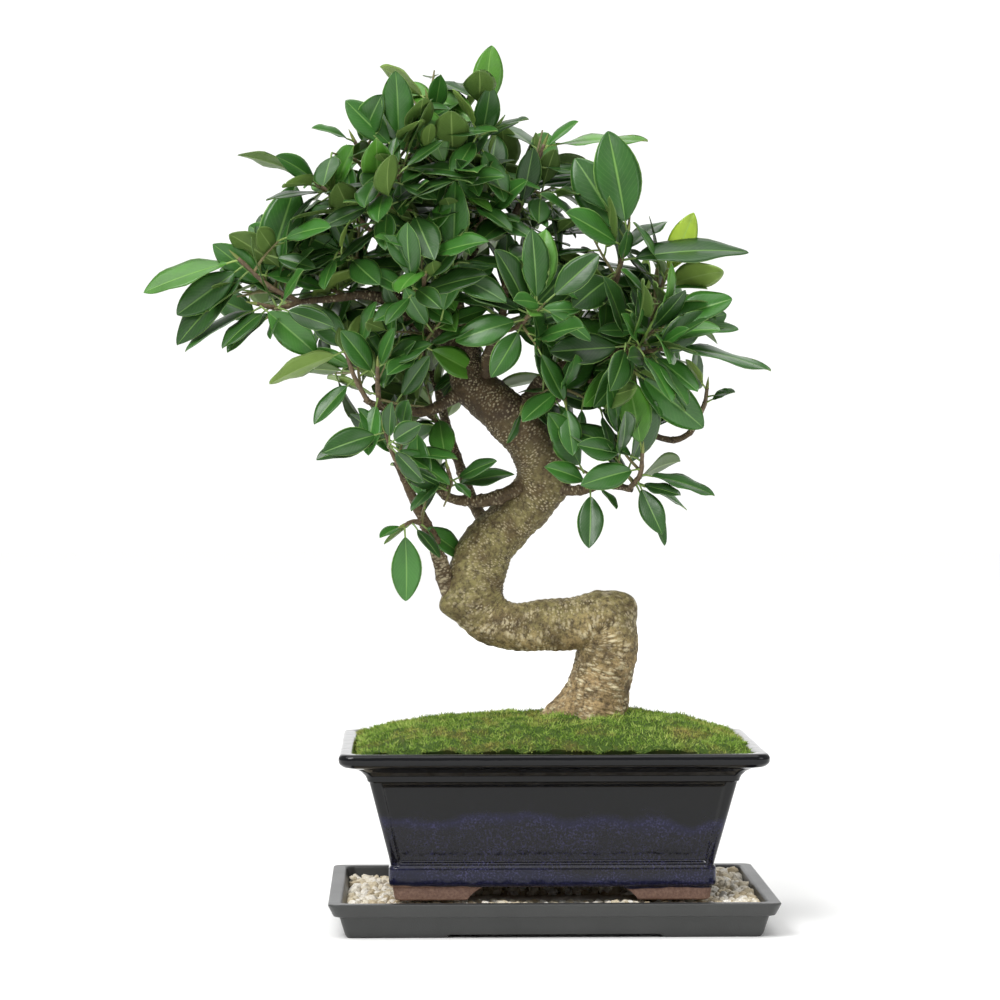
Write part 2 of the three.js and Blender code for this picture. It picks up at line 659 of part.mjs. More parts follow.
addMesh("humidity_tray", humidityTray(), 0x444746, 0.55);
addMesh("pebble_bed", pebbleBed(), 0xd9cdb4, 0.9);
addMesh("pot", potSolid(), 0x1a1d33, 0.15);

const placed = []; // what later pieces keep clear of
for (const [side, x] of [["left", -drain.offset], ["right", drain.offset]]) {
  addMesh("drain_mesh_" + side, drainMesh(x), 0x2b2b2b, 0.6);
  addMesh("mesh_clip_" + side, meshClip(x), 0xb8b8b8, 0.35, 1);
  const pocket = drain.meshSide + 2 * gap;
  placed.push(boxAt([pocket, pocket, 2 * drain.meshThickness + 1.2], [x, 0, pot.floor + 1.5]));
  placed.push(meshClip(x, gap));
}

// Cuts away what earlier pieces hold, and keeps the one body that is left.
function clearOfPlaced(solid) {
  const own = solid.boundingBox();
  const cut = placed.reduce((left, other) => {
    const box = other.boundingBox();
    const apart = [0, 1, 2].some((k) => own.min[k] > box.max[k] || own.max[k] < box.min[k]);
    return apart ? left : left.subtract(other);
  }, solid);
  return cut.decompose().reduce((largest, body) => (body.volume() > largest.volume() ? body : largest));
}

function addGrown(name, build, colour, roughness) {
  addMesh(name, clearOfPlaced(build(0)), colour, roughness);
  placed.push(build(1.4 * gap));
}

addGrown("trunk", trunk, barkColour, 0.75);
const soil = mound(mossDepth + gap).intersect(potFilling());
const moss = mound(0).subtract(mound(mossDepth)).intersect(potFilling());
addMesh("soil", clearOfPlaced(soil), 0x3b2a1e, 0.95);
addMesh("moss", clearOfPlaced(moss), 0x5c7f25, 0.9);

for (const [name, forks] of Object.entries(branches)) {
  const fork = ([route, thick, thin], grow) =>
    limb(route, [thick, thin], 7, Math.round(1.5 * route.length), grow);
  const build = (grow) => joined(forks.map((parts) => fork(parts, grow)));
  addGrown(name, build, barkColour, 0.75);
}

Object.entries(shoots).forEach(([name, layout], index) => {
  const build = (grow) => shoot(layout, index, grow);
  addGrown("shoot_" + name, build, leafColours[index % leafColours.length], 0.35);
});

export default group;
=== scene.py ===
import functools
import itertools
import math
import random

import bmesh
import bpy
import numpy as np
from mathutils import Euler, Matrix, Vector, noise


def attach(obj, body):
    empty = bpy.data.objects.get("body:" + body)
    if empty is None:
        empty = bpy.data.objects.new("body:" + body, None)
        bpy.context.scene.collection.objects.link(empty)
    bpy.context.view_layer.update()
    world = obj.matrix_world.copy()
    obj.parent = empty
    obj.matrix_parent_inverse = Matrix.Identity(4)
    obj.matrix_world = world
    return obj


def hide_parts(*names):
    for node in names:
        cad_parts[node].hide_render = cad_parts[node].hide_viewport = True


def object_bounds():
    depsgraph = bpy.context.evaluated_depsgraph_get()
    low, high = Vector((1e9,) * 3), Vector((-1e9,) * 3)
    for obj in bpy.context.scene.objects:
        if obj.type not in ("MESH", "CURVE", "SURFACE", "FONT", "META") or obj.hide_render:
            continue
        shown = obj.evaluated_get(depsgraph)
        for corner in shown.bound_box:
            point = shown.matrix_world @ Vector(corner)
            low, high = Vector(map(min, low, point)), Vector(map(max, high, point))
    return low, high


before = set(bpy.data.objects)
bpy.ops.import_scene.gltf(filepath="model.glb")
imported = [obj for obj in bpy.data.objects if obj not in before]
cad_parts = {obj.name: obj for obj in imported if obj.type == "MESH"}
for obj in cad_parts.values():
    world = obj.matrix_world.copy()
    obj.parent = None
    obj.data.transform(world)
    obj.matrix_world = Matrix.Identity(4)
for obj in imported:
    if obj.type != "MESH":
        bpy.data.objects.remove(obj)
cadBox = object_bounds()
mm = 0.001
scene = bpy.context.scene
print("frame loaded:", len(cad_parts), "nodes")


# finishes

def linearColour(hexText):
    def channel(text):
        value = int(text, 16) / 255
        return value / 12.92 if value <= 0.04045 else ((value + 0.055) / 1.055) ** 2.4
    return tuple(channel(hexText[i:i + 2]) for i in (1, 3, 5)) + (1.0,)


def addNode(tree, kind, inputs=None, out=0, stops=None, **settings):
    # inputs holds numbers, hex colours or other nodes' outputs; stops fills a colour ramp
    node = tree.nodes.new("ShaderNode" + kind)
    for name, value in settings.items():
        setattr(node, name, value)
    for name, value in (inputs or {}).items():
        if isinstance(value, bpy.types.NodeSocket):
            tree.links.new(value, node.inputs[name])
        else:
            node.inputs[name].default_value = linearColour(value) if isinstance(value, str) else value
    for i, (place, colour) in enumerate(stops or []):
        elements = node.color_ramp.elements
        element = elements[i] if i < 2 else elements.new(place)
        element.position = place
        element.color = linearColour(colour) if isinstance(colour, str) else (colour,) * 3 + (1.0,)
    return node.outputs[out]


def finish(name, constants, build):
    # constants sit on the shader's own sockets; build gives what varies over the surface, from add,
    # which adds a node, and place, the point on the object in metres
    material = bpy.data.materials.new(name)
    material.use_nodes = True
    tree = material.node_tree
    shader = tree.nodes["Principled BSDF"]
    for socket, value in constants.items():
        shader.inputs[socket].default_value = value
    add = functools.partial(addNode, tree)
    for socket, source in build(add, add("TexCoord", out=3)).items():
        tree.links.new(source, shader.inputs[socket])
    return material


def navyGlaze(add, place):
    height = add("SeparateXYZ", {0: place}, out=2)
    # the dip line wanders 8 mm up and down, over runs about 90 mm long
    drift = add("TexNoise", {"Vector": place, "Scale": 11.0, "Detail": 4.0, "Roughness": 0.6})
    wander = add("Math", {0: drift, 1: 0.034, 2: -0.017}, operation="MULTIPLY_ADD")
    level = add("Math", {0: height, 1: wander}, operation="ADD")
    level = add("MapRange", {"Value": level, "From Min": 0.026, "From Max": 0.106})
    # crystals are under 0.3 mm; they are drawn 1.2 mm apart so that they show
    speck = add("TexNoise", {"Vector": place, "Scale": 800.0, "Detail": 2.0, "Roughness": 0.7})
    speck = add("ValToRGB", {0: speck}, stops=[(0.49, 0.0), (0.63, 1.0)])
    cloud = add("TexNoise", {"Vector": place, "Scale": 60.0, "Detail": 5.0, "Roughness": 0.7})
    cloud = add("ValToRGB", {0: cloud}, stops=[(0.38, 0.15), (0.64, 1.0)])
    # crystals gather where the glaze ran: over the plinth and just below the dip line
    band = add("ValToRGB", {0: level},
               stops=[(0.0, 0.15), (0.11, 0.75), (0.15, 0.45), (0.36, 0.35), (0.47, 0.60), (0.52, 0.08),
                      (0.62, 0.02)])
    amount = speck
    for share in (band, cloud):
        amount = add("Math", {0: amount, 1: share}, operation="MULTIPLY")
    ground = add("ValToRGB", {0: level},
                 stops=[(0.0, "#101226"), (0.10, "#14162e"), (0.16, "#121217"), (0.42, "#131319"),
                        (0.48, "#171730"), (0.53, "#0b0c0d"), (1.0, "#0a0b0d")])
    glaze = add("Mix", {0: amount, 6: ground, 7: "#4b4a78"}, out=2, data_type="RGBA")
    # below the plinth the clay was wiped clean before firing
    clayGrain = add("TexNoise", {"Vector": place, "Scale": 650.0, "Detail": 6.0, "Roughness": 0.7})
    clay = add("ValToRGB", {0: clayGrain}, stops=[(0.3, "#6b5349"), (0.5, "#83695e"), (0.72, "#9a8072")])
    wiped = add("Math", {0: drift, 1: 0.012, 2: height}, operation="MULTIPLY_ADD")
    glazed = add("MapRange", {"Value": wiped, "From Min": 0.0318, "From Max": 0.0325})
    colour = add("Mix", {0: glazed, 6: clay, 7: glaze}, out=2, data_type="RGBA")
    rough = add("MapRange", {"Value": glazed, "To Min": 0.8, "To Max": 0.11})
    ripple = add("TexNoise", {"Vector": place, "Scale": 130.0, "Detail": 2.0})  # 8 mm ripples
    skin = add("Mix", {0: glazed, 2: clayGrain, 3: ripple}, data_type="FLOAT")
    bump = add("Bump", {"Height": skin, "Distance": 0.0006, "Strength": 0.35})
    return {"Base Color": colour, "Roughness": rough, "Normal": bump}


def mouldedPlastic(dark, light, roughness):
    def build(add, place):
        cloud = add("TexNoise", {"Vector": place, "Scale": 24.0, "Detail": 5.0, "Roughness": 0.65})
        colour = add("ValToRGB", {0: cloud}, stops=[(0.32, dark), (0.70, light)])
        rough = add("MapRange", {"Value": cloud, "To Min": roughness - 0.07, "To Max": roughness + 0.1})
        # spark-eroded grain is 0.1 mm; it is drawn ten times as coarse
        grain = add("TexNoise", {"Vector": place, "Scale": 950.0, "Detail": 2.0})
        bump = add("Bump", {"Height": grain, "Distance": 0.0002, "Strength": 0.4})
        return {"Base Color": colour, "Roughness": rough, "Normal": bump}
    return build


def crushedQuartz(add, place):
    tone = add("Attribute", out=2, attribute_name="tone")
    tint = add("ValToRGB", {0: tone},
               stops=[(0.0, "#b3a283"), (0.2, "#d0c3a6"), (0.5, "#e4dcc8"), (0.8, "#f0ebdf"),
                      (1.0, "#faf7ef")])
    grain = add("TexNoise", {"Vector": place, "Scale": 520.0, "Detail": 5.0, "Roughness": 0.65})
    vein = add("ValToRGB", {0: grain}, stops=[(0.36, 0.4), (0.55, 0.0)])
    colour = add("Mix", {0: vein, 6: tint, 7: "#a8946c"}, out=2, data_type="RGBA")
    bump = add("Bump", {"Height": grain, "Distance": 0.0005, "Strength": 0.5})
    return {"Base Color": colour, "Normal": bump}


def dampLoam(add, place):
    crumb = add("TexVoronoi", {"Vector": place, "Scale": 420.0})  # crumbs 2.4 mm across
    shade = add("TexNoise", {"Vector": place, "Scale": 300.0, "Detail": 4.0})
    colour = add("ValToRGB", {0: shade}, stops=[(0.3, "#1d140d"), (0.55, "#3a291c"), (0.75, "#6b533b")])
    bump = add("Bump", {"Height": crumb, "Distance": 0.001, "Strength": 0.8})
    return {"Base Color": colour, "Normal": bump}


def drawnAluminium(add, place):
    streak = add("TexNoise", {"Vector": place, "Scale": 500.0, "Detail": 3.0})
    return {"Base Color": add("ValToRGB", {0: streak}, stops=[(0.3, "#8f9193"), (0.7, "#b9bbbd")])}


def livingMoss(dark, middle, light, dry):
    def build(add, place):
        tone = add("Attribute", out=2, attribute_name="tone")
        green = add("ValToRGB", {0: tone}, stops=[(0.0, dark), (0.5, middle), (1.0, light)])
        patch = add("TexNoise", {"Vector": place, "Scale": 48.0, "Detail": 6.0, "Roughness": 0.65})
        mask = add("ValToRGB", {0: patch}, stops=[(0.50, 0.0), (0.68, 0.7)])
        return {"Base Color": add("Mix", {0: mask, 6: green, 7: dry}, out=2, data_type="RGBA")}
    return build


def ficusBark(foot, top, lowest, highest, poreShare):
    # two colours for the foot and one above, changing from the lowest to the highest level in metres
    def build(add, place):
        laid = add("UVMap", uv_map="laid")  # metres round and along the limb
        height = add("SeparateXYZ", {0: place}, out=2)
        blotch = add("TexNoise", {"Vector": place, "Scale": 38.0, "Detail": 6.0, "Roughness": 0.65})
        shift = add("Math", {0: blotch, 1: 0.09, 2: height}, operation="MULTIPLY_ADD")
        rise = add("MapRange", {"Value": shift, "From Min": lowest + 0.045, "From Max": highest + 0.045})
        ground = add("ValToRGB", {0: rise},
                     stops=[(0.0, foot[0]), (0.25, foot[1]), (0.5, foot[1]), (1.0, top)])
        patch = add("TexNoise", {"Vector": place, "Scale": 75.0, "Detail": 5.0, "Roughness": 0.7})
        fine = add("TexNoise", {"Vector": place, "Scale": 330.0, "Detail": 6.0, "Roughness": 0.75})
        # dark patches 13 mm across, then the pits in the skin, 3 mm apart
        for field, stops, colour in ((patch, [(0.42, 0.0), (0.62, 0.8)], "#5c4a2c"),
                                     (fine, [(0.38, 0.85), (0.55, 0.0)], "#3b2d1a")):
            mask = add("ValToRGB", {0: field}, stops=stops)
            ground = add("Mix", {0: mask, 6: ground, 7: colour}, out=2, data_type="RGBA")
        # pores: dashes across the limb, 6 mm wide low on the trunk and 2 mm dots above
        scatter = add("TexNoise", {"Vector": place, "Scale": 110.0, "Detail": 4.0, "Roughness": 0.7})
        scatter = add("ValToRGB", {0: scatter}, stops=[(0.44, 0.0), (0.60, 1.0)])
        low = add("ValToRGB", {0: rise}, stops=[(0.0, 1.0), (0.45, 0.0)])
        layers = []
        for size, share in (((130.0, 360.0, 1.0), low), ((380.0, 620.0, 1.0), poreShare)):
            stretched = add("Mapping", {"Vector": laid, "Scale": size})
            dot = add("TexVoronoi", {"Vector": stretched, "Scale": 1.0, "Randomness": 0.95},
                      voronoi_dimensions="2D")
            dot = add("ValToRGB", {0: dot}, stops=[(0.18, 1.0), (0.38, 0.0)])
            for factor in (scatter, share):
                dot = add("Math", {0: dot, 1: factor}, operation="MULTIPLY")
            layers.append(dot)
        pore = add("Math", {0: layers[0], 1: layers[1]}, operation="MAXIMUM")
        colour = add("Mix", {0: pore, 6: ground, 7: "#e8dab4"}, out=2, data_type="RGBA")
        # growth wrinkles run round the limb about 2.5 mm apart
        ringed = add("Mapping", {"Vector": laid, "Scale": (55.0, 400.0, 1.0)})
        wrinkle = add("TexNoise", {"Vector": ringed, "Scale": 1.0, "Detail": 4.0, "Roughness": 0.6})
        bump = add("Bump", {"Height": wrinkle, "Distance": 0.0016, "Strength": 0.9})
        for field, depth in ((fine, 0.0013), (pore, 0.0007)):
            bump = add("Bump", {"Height": field, "Distance": depth, "Strength": 0.8, "Normal": bump})
        return {"Base Color": colour, "Normal": bump}
    return build


def youngTwig(add, place):
    fine = add("TexNoise", {"Vector": place, "Scale": 360.0, "Detail": 5.0, "Roughness": 0.7})
    tone = add("Attribute", out=2, attribute_name="tone")
    brown = add("ValToRGB", {0: fine}, stops=[(0.30, "#46382a"), (0.60, "#75634a"), (0.76, "#a5946f")])
    colour = add("Mix", {0: tone, 6: brown, 7: "#7d8a45"}, out=2, data_type="RGBA")
    bump = add("Bump", {"Height": fine, "Distance": 0.0006, "Strength": 0.6})
    return {"Base Color": colour, "Normal": bump}


def ficusLeaf(shades, veinColour, midribShare, edgeShare, veinShare):
    def build(add, place):
        laid = add("UVMap", uv_map="laid")  # 0 to 1 across and along one leaf
        tone = add("Attribute", out=2, attribute_name="tone")
        body = add("ValToRGB", {0: tone}, stops=shades)
        cloud = add("TexNoise", {"Vector": place, "Scale": 50.0, "Detail": 4.0})
        cloud = add("ValToRGB", {0: cloud}, stops=[(0.36, 0.0), (0.70, 0.45)])
        body = add("Mix", {0: cloud, 6: body, 7: shades[0][1]}, out=2, data_type="RGBA")
        across = add("SeparateXYZ", {0: laid})
        along = add("SeparateXYZ", {0: laid}, out=1)
        fromMiddle = across
        for operation, number in (("SUBTRACT", 0.5), ("ABSOLUTE", 0.0), ("MULTIPLY", 2.0)):
            fromMiddle = add("Math", {0: fromMiddle, 1: number}, operation=operation)
        midrib = add("ValToRGB", {0: fromMiddle}, stops=[(0.015, midribShare), (0.07, 0.0)])
        edge = add("ValToRGB", {0: fromMiddle}, stops=[(0.93, 0.0), (0.98, edgeShare)])
        # side veins leave the midrib forwards, every 4 mm or so
        slant = add("Math", {0: fromMiddle, 1: -0.3, 2: along}, operation="MULTIPLY_ADD")
        wave = add("Math", {0: slant, 1: 88.0}, operation="MULTIPLY")
        wave = add("Math", {0: wave}, operation="SINE")
        vein = add("ValToRGB", {0: wave}, stops=[(0.80, 0.0), (1.0, veinShare)])
        pale = vein
        for line in (midrib, edge):
            pale = add("Math", {0: pale, 1: line}, operation="MAXIMUM")
        colour = add("Mix", {0: pale, 6: body, 7: veinColour}, out=2, data_type="RGBA")
        quilt = add("TexNoise", {"Vector": place, "Scale": 160.0, "Detail": 2.0})
        bump = add("Bump", {"Height": quilt, "Distance": 0.0008, "Strength": 0.25})
        bump = add("Bump", {"Height": vein, "Distance": 0.0004, "Strength": 0.4, "Normal": bump}, invert=True)
        return {"Base Color": colour, "Normal": bump}
    return build


upperShades = [(0.0, "#1c3a14"), (0.3, "#2b561e"), (0.6, "#3b7428"), (0.8, "#5b952f"), (1.0, "#b2d23c")]
underShades = [(0.0, "#46602a"), (0.5, "#65823c"), (0.8, "#86a24b"), (1.0, "#b4cf6c")]

finishes = dict(
    # dipped stoneware glaze, fired glossy: navy where it ran thin, near black where thick
    glaze=finish("navyDippedGlaze", {"IOR": 1.5, "Specular IOR Level": 0.3}, navyGlaze),
    # injection-moulded polypropylene: a satin grey with cloudy scuffs
    tray=finish("mouldedPolypropylene", {"IOR": 1.49}, mouldedPlastic("#323332", "#3c3d3c", 0.36)),
    # moulded polythene netting: dull black
    netting=finish("mouldedPolythene", {"IOR": 1.5}, mouldedPlastic("#151515", "#242424", 0.5)),
    # crushed quartz: pale and matt, each chip its own tint
    stone=finish("crushedQuartz", {"Roughness": 0.62}, crushedQuartz),
    # sieved damp loam: dark crumbs
    loam=finish("dampLoam", {"Roughness": 0.95}, dampLoam),
    # drawn aluminium wire: dull bright metal
    wire=finish("drawnAluminium", {"Metallic": 1.0, "Roughness": 0.38}, drawnAluminium),
    # living sheet moss: dull, with straw patches where it dried; the mat under the fronds is darker, partly
    # its own colour and partly painted shade of the fronds
    mossMatWithPaintedShade=finish("mossMatWithPaintedShade", {"Roughness": 0.95}, livingMoss("#2f4212", "#3f5814", "#58742a", "#5e5228")),
    moss=finish("mossFronds", {"Roughness": 0.8}, livingMoss("#456417", "#7c9f33", "#bccd6c", "#b39a58")),
    # grown ficus bark: smooth tan skin, browner above, crossed by raised cream pores
    bark=finish("ficusBark", {"Roughness": 0.7},
                ficusBark(("#b89d6e", "#8f8653"), "#4b3c29", 0.15, 0.30, 0.5)),
    branchBark=finish("ficusBranchBark", {"Roughness": 0.7},
                      ficusBark(("#6d5c40", "#5e4e37"), "#4c3e2c", 0.18, 0.30, 0.45)),
    # one-year ficus twig: thin brown skin, green towards the tip
    twig=finish("ficusTwig", {"Roughness": 0.6}, youngTwig),
    # waxed ficus leaf: thick and glossy above, with a pale midrib and a thin pale edge
    leaf=finish("waxedFicusLeaf", {"Roughness": 0.34, "IOR": 1.5},
                ficusLeaf(upperShades, "#93c065", 0.45, 0.8, 0.06)),
    # underside of the leaf: duller and paler, with a raised midrib
    leafUnder=finish("ficusLeafUnderside", {"Roughness": 0.5, "IOR": 1.45},
                     ficusLeaf(underShades, "#93ad62", 0.7, 0.4, 0.08)),
)
print("finishes made:", len(finishes))


# mesh building, all in millimetres

class Shape:
    def __init__(self):
        self.points, self.corners, self.sizes = [], [], []
        self.laid, self.slots, self.tones = [], [], []
        self.count = 0

    def add(self, points, faces, laid=None, slot=0, tone=0.0):
        points, faces = np.asarray(points, float).reshape(-1, 3), np.asarray(faces)
        if laid is None:
            laid = np.zeros((faces.size, 2))
        self.points.append(points)
        self.corners.append(faces.reshape(-1) + self.count)
        self.sizes.append(np.full(len(faces), faces.shape[1]))
        self.laid.append(np.asarray(laid, float).reshape(-1, 2))
        self.slots.append(np.broadcast_to(slot, (len(faces),)))
        self.tones.append(np.broadcast_to(tone, (len(points),)))
        self.count += len(points)

    def addRings(self, rings, across, along, slot=0, tone=0.0):
        # rows of closed loops become one closed skin; across has one value more than a loop has
        # points, along one for each row
        rows, columns = rings.shape[:2]
        i, j = np.arange(rows - 1)[:, None] * columns, np.arange(columns)[None, :]
        low, ahead = i + j, i + (j + 1) % columns
        faces = np.stack([low, ahead, ahead + columns, low + columns], -1).reshape(-1, 4)
        u, v = np.asarray(across, float), np.asarray(along, float)
        square = [(u[:-1], v[:-1]), (u[1:], v[:-1]), (u[1:], v[1:]), (u[:-1], v[1:])]
        laid = np.stack([np.stack(np.meshgrid(a, b), -1) for a, b in square], -2)
        start = self.count
        self.add(rings, faces, laid, slot, tone)
        for loop in (np.arange(columns)[::-1], np.arange(columns) + (rows - 1) * columns):
            self.corners.append(loop + start)
            self.sizes.append(np.array([columns]))
            self.laid.append(np.zeros((columns, 2)))
            self.slots.append(np.array([np.ravel(slot)[0]]))

    def build(self, name, materials, smooth=True):
        points, corners, sizes = map(np.concatenate, (self.points, self.corners, self.sizes))
        mesh = bpy.data.meshes.new(name)
        mesh.vertices.add(len(points))
        mesh.vertices.foreach_set("co", (points * mm).ravel())
        mesh.loops.add(len(corners))
        mesh.loops.foreach_set("vertex_index", corners.astype(np.int32))
        mesh.polygons.add(len(sizes))
        starts = np.concatenate([[0], np.cumsum(sizes)[:-1]])
        mesh.polygons.foreach_set("loop_start", starts.astype(np.int32))
        mesh.polygons.foreach_set("material_index", np.concatenate(self.slots).astype(np.int32))
        mesh.polygons.foreach_set("use_smooth", np.full(len(sizes), smooth))
        mesh.update(calc_edges=True)
        mesh.uv_layers.new(name="laid").data.foreach_set("uv", np.concatenate(self.laid).ravel())
        tone = mesh.attributes.new("tone", "FLOAT", "POINT")
        tone.data.foreach_set("value", np.concatenate(self.tones).astype(np.float32))
        for material in materials:
            mesh.materials.append(material)
        mesh.validate()
        piece = bpy.data.objects.new(name, mesh)
        scene.collection.objects.link(piece)
        return piece


def routePoint(points, place):
    # centripetal Catmull-Rom curve; place 2.5 is half way from point 2 to point 3
    segment = min(int(place), len(points) - 2)
    t = place - segment
    p1, p2 = points[segment], points[segment + 1]
    p0 = points[segment - 1] if segment > 0 else 2 * p1 - p2
    p3 = points[segment + 2] if segment + 2 < len(points) else 2 * p2 - p1
    d0, d1, d2 = (math.sqrt(np.linalg.norm(b - a)) for a, b in ((p0, p1), (p1, p2), (p2, p3)))
    leave = d1 * ((p1 - p0) / d0 - (p2 - p0) / (d0 + d1)) + p2 - p1
    arrive = d1 * ((p3 - p2) / d2 - (p3 - p1) / (d1 + d2)) + p2 - p1
    h = t * t * (3 - 2 * t)
    return (1 - h) * p1 + h * p2 + t * (1 - t) ** 2 * leave - t * t * (1 - t) * arrive


def walkRoute(points, steps):
    points = np.asarray(points, float)
    centres = np.array([routePoint(points, place) for place in np.linspace(0, len(points) - 1, steps + 1)])
    tangents = np.gradient(centres, axis=0)
    tangents /= np.linalg.norm(tangents, axis=1, keepdims=True)
    normals, normal = [], np.array([0.0, 1.0, 0.0])
    for tangent in tangents:
        normal = normal - normal.dot(tangent) * tangent
        normal /= np.linalg.norm(normal)
        normals.append(normal)
    normals = np.array(normals)
    travelled = np.concatenate([[0], np.cumsum(np.linalg.norm(np.diff(centres, axis=0), axis=1))])
    return centres, normals, np.cross(tangents, normals), travelled


def addLimb(shape, points, radii, sides, steps, relief=None, slot=0, tone=0.0):
    # a round limb; relief adds to its radius
    centres, normals, across, travelled = walkRoute(points, steps)
    share = np.linspace(0, 1, steps + 1)
    radius = np.interp(share * (len(radii) - 1), np.arange(len(radii)), radii)
    turn = np.linspace(0, 2 * math.pi, sides, endpoint=False)
    spokes = normals[:, None] * np.cos(turn)[:, None] + across[:, None] * np.sin(turn)[:, None]
    reach = np.repeat(radius[:, None], sides, 1)
    if relief:
        reach = reach + relief(centres, spokes, reach, turn, share, travelled)
    rings = centres[:, None] + spokes * reach[..., None]
    girth = 2 * math.pi * float(np.mean(radius))
    shape.addRings(rings, np.linspace(0, girth, sides + 1) * mm, travelled * mm, slot, tone)


def softNoise(points, size, seed=0.0):
    # smooth bumps of about the size given, -1 to 1
    shift = Vector((seed, 2 * seed + 7, 3 - seed))
    values = [noise.noise(Vector(point) / size + shift) for point in points.reshape(-1, 3)]
    return np.array(values).reshape(points.shape[:-1])


def roundedProfile(profile, radius):
    # rounds each corner of an open outline of (inset, height)
    outline = [np.array(point, float) for point in profile]
    soft = [outline[0]]
    for before, corner, after in zip(outline, outline[1:], outline[2:]):
        back, onward = before - corner, after - corner
        near, far = np.linalg.norm(back), np.linalg.norm(onward)
        start = corner + back * min(radius / near, 0.4)
        end = corner + onward * min(radius / far, 0.4)
        for t in (0, 0.33, 0.67, 1):
            soft.append((1 - t) ** 2 * start + 2 * t * (1 - t) * corner + t ** 2 * end)
    return soft + [outline[-1]]


def rectangleRing(halfWidth, halfDepth, corner, stopsOf):
    # one loop round a rectangle with round corners; stopsOf(half, longSide) gives the places along a
    # side, as many on each side
    loop = []
    for quarter in range(4):
        longSide = quarter % 2 == 1
        half, out = (halfWidth, halfDepth) if longSide else (halfDepth, halfWidth)
        outward = np.array([math.cos(quarter * math.pi / 2), math.sin(quarter * math.pi / 2)])
        along = np.array([-outward[1], outward[0]])
        loop += [outward * out + along * stop for stop in stopsOf(half - corner, longSide)]
        centre = outward * (out - corner) + along * (half - corner)
        for t in np.linspace(0, math.pi / 2, 8)[1:-1]:
            loop.append(centre + corner * (outward * math.cos(t) + along * math.sin(t)))
    return np.array(loop)


def loftRings(halfWidth, halfDepth, profile, cornerAt, stopsAt):
    rings = []
    for inset, height in profile:
        ring = rectangleRing(halfWidth - inset, halfDepth - inset, cornerAt(inset, height),
                             lambda half, longSide: stopsAt(half, longSide, height))
        rings.append(np.column_stack([ring, np.full(len(ring), height)]))
    return np.array(rings)


def addLoft(shape, rings):
    rows, columns = rings.shape[:2]
    shape.addRings(rings, np.linspace(0, 1, columns + 1), np.linspace(0, 1, rows))


def evenShading(piece):
    # keeps flat walls flat beside their small rounded edges
    weighting = piece.modifiers.new("evenShading", "WEIGHTED_NORMAL")
    weighting.mode = "FACE_AREA"


def settle(piece, slot, *nodes):
    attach(piece, "root")
    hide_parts(*nodes)


# humidity tray

trayShape = dict(
    halfWidth=130.5, halfDepth=93.5, height=20.6, floor=4.0,
    corner=6.0, cornerUnder=4.0,
    edgeRadius=0.7,
    slotHalf=62.0, slotDeep=25.0, slotLift=1.6,  # the notch under the middle of each long side
)


def buildTray():
    h, floor = trayShape["height"], trayShape["floor"]
    profile = [(11, 0), (9.8, 1.5), (6.5, 12.6), (3.6, 12.8), (3, 13.4), (0, h - 0.8), (0.6, h),
               (7, h), (8, h - 1), (12.5, floor), (16, floor)]
    profile = [(30, 0), (26, 0), (24.5, 0)] + roundedProfile(profile, trayShape["edgeRadius"])

    def stopsAt(half, longSide, height):
        if longSide:
            return [-half, -90, -64, -60, -30, 0, 30, 60, 64, 90, half]
        return np.linspace(-half, half, 11)

    def cornerAt(inset, height):
        return trayShape["corner"] if height > 12 else trayShape["cornerUnder"]

    rings = loftRings(trayShape["halfWidth"], trayShape["halfDepth"], profile, cornerAt, stopsAt)
    x, y, z = np.moveaxis(rings, -1, 0)
    under = (z < 2) & (np.abs(y) > trayShape["halfDepth"] - trayShape["slotDeep"])
    z[under & (np.abs(x) < trayShape["slotHalf"])] += trayShape["slotLift"]
    shape = Shape()
    addLoft(shape, rings)
    piece = shape.build("humidityTray", [finishes["tray"]])
    evenShading(piece)
    settle(piece, "tray_plastic", "humidity_tray")


buildTray()
print("humidity tray built")


# pebbles

pebbleBed = dict(
    seed=11, spacing=5.6, smallest=2.8, largest=4.8, jitter=1.5, cuts=9,
    halfWidth=117.5, halfDepth=80.5,
    level=16.7,  # tops of the bed beside the pot
    heap=3.2, heapFrom=100.0,  # how much higher it lies to the right
    raised=3.5, raisedAt=((-30.0, 12.0), (40.0, 16.0)),  # stones pushed up between the feet: place, size
    layerDrop=3.6, finesTop=9.0,
    bareHalfWidth=70.0, bareHalfDepth=34.0,  # under the middle of the pot nothing shows
)


def pebbleLevel(x, y):
    # flat under the pot, heaped and uneven beside it
    under = 1 / (1 + np.exp((np.maximum(np.abs(x) - 94, np.abs(y) - 58)) / 2.5))
    heaped = pebbleBed["heap"] / (1 + math.exp(-(x - pebbleBed["heapFrom"]) / 4))
    heaped += 2.2 * noise.noise(Vector((x, y, 0)) / 22)
    between = sum(math.exp(-(((x - place) / size) ** 2)) for place, size in pebbleBed["raisedAt"])
    raised = pebbleBed["raised"] * between * math.exp(-(((y + 66) / 12) ** 2))
    return pebbleBed["level"] + heaped * (1 - under) + raised


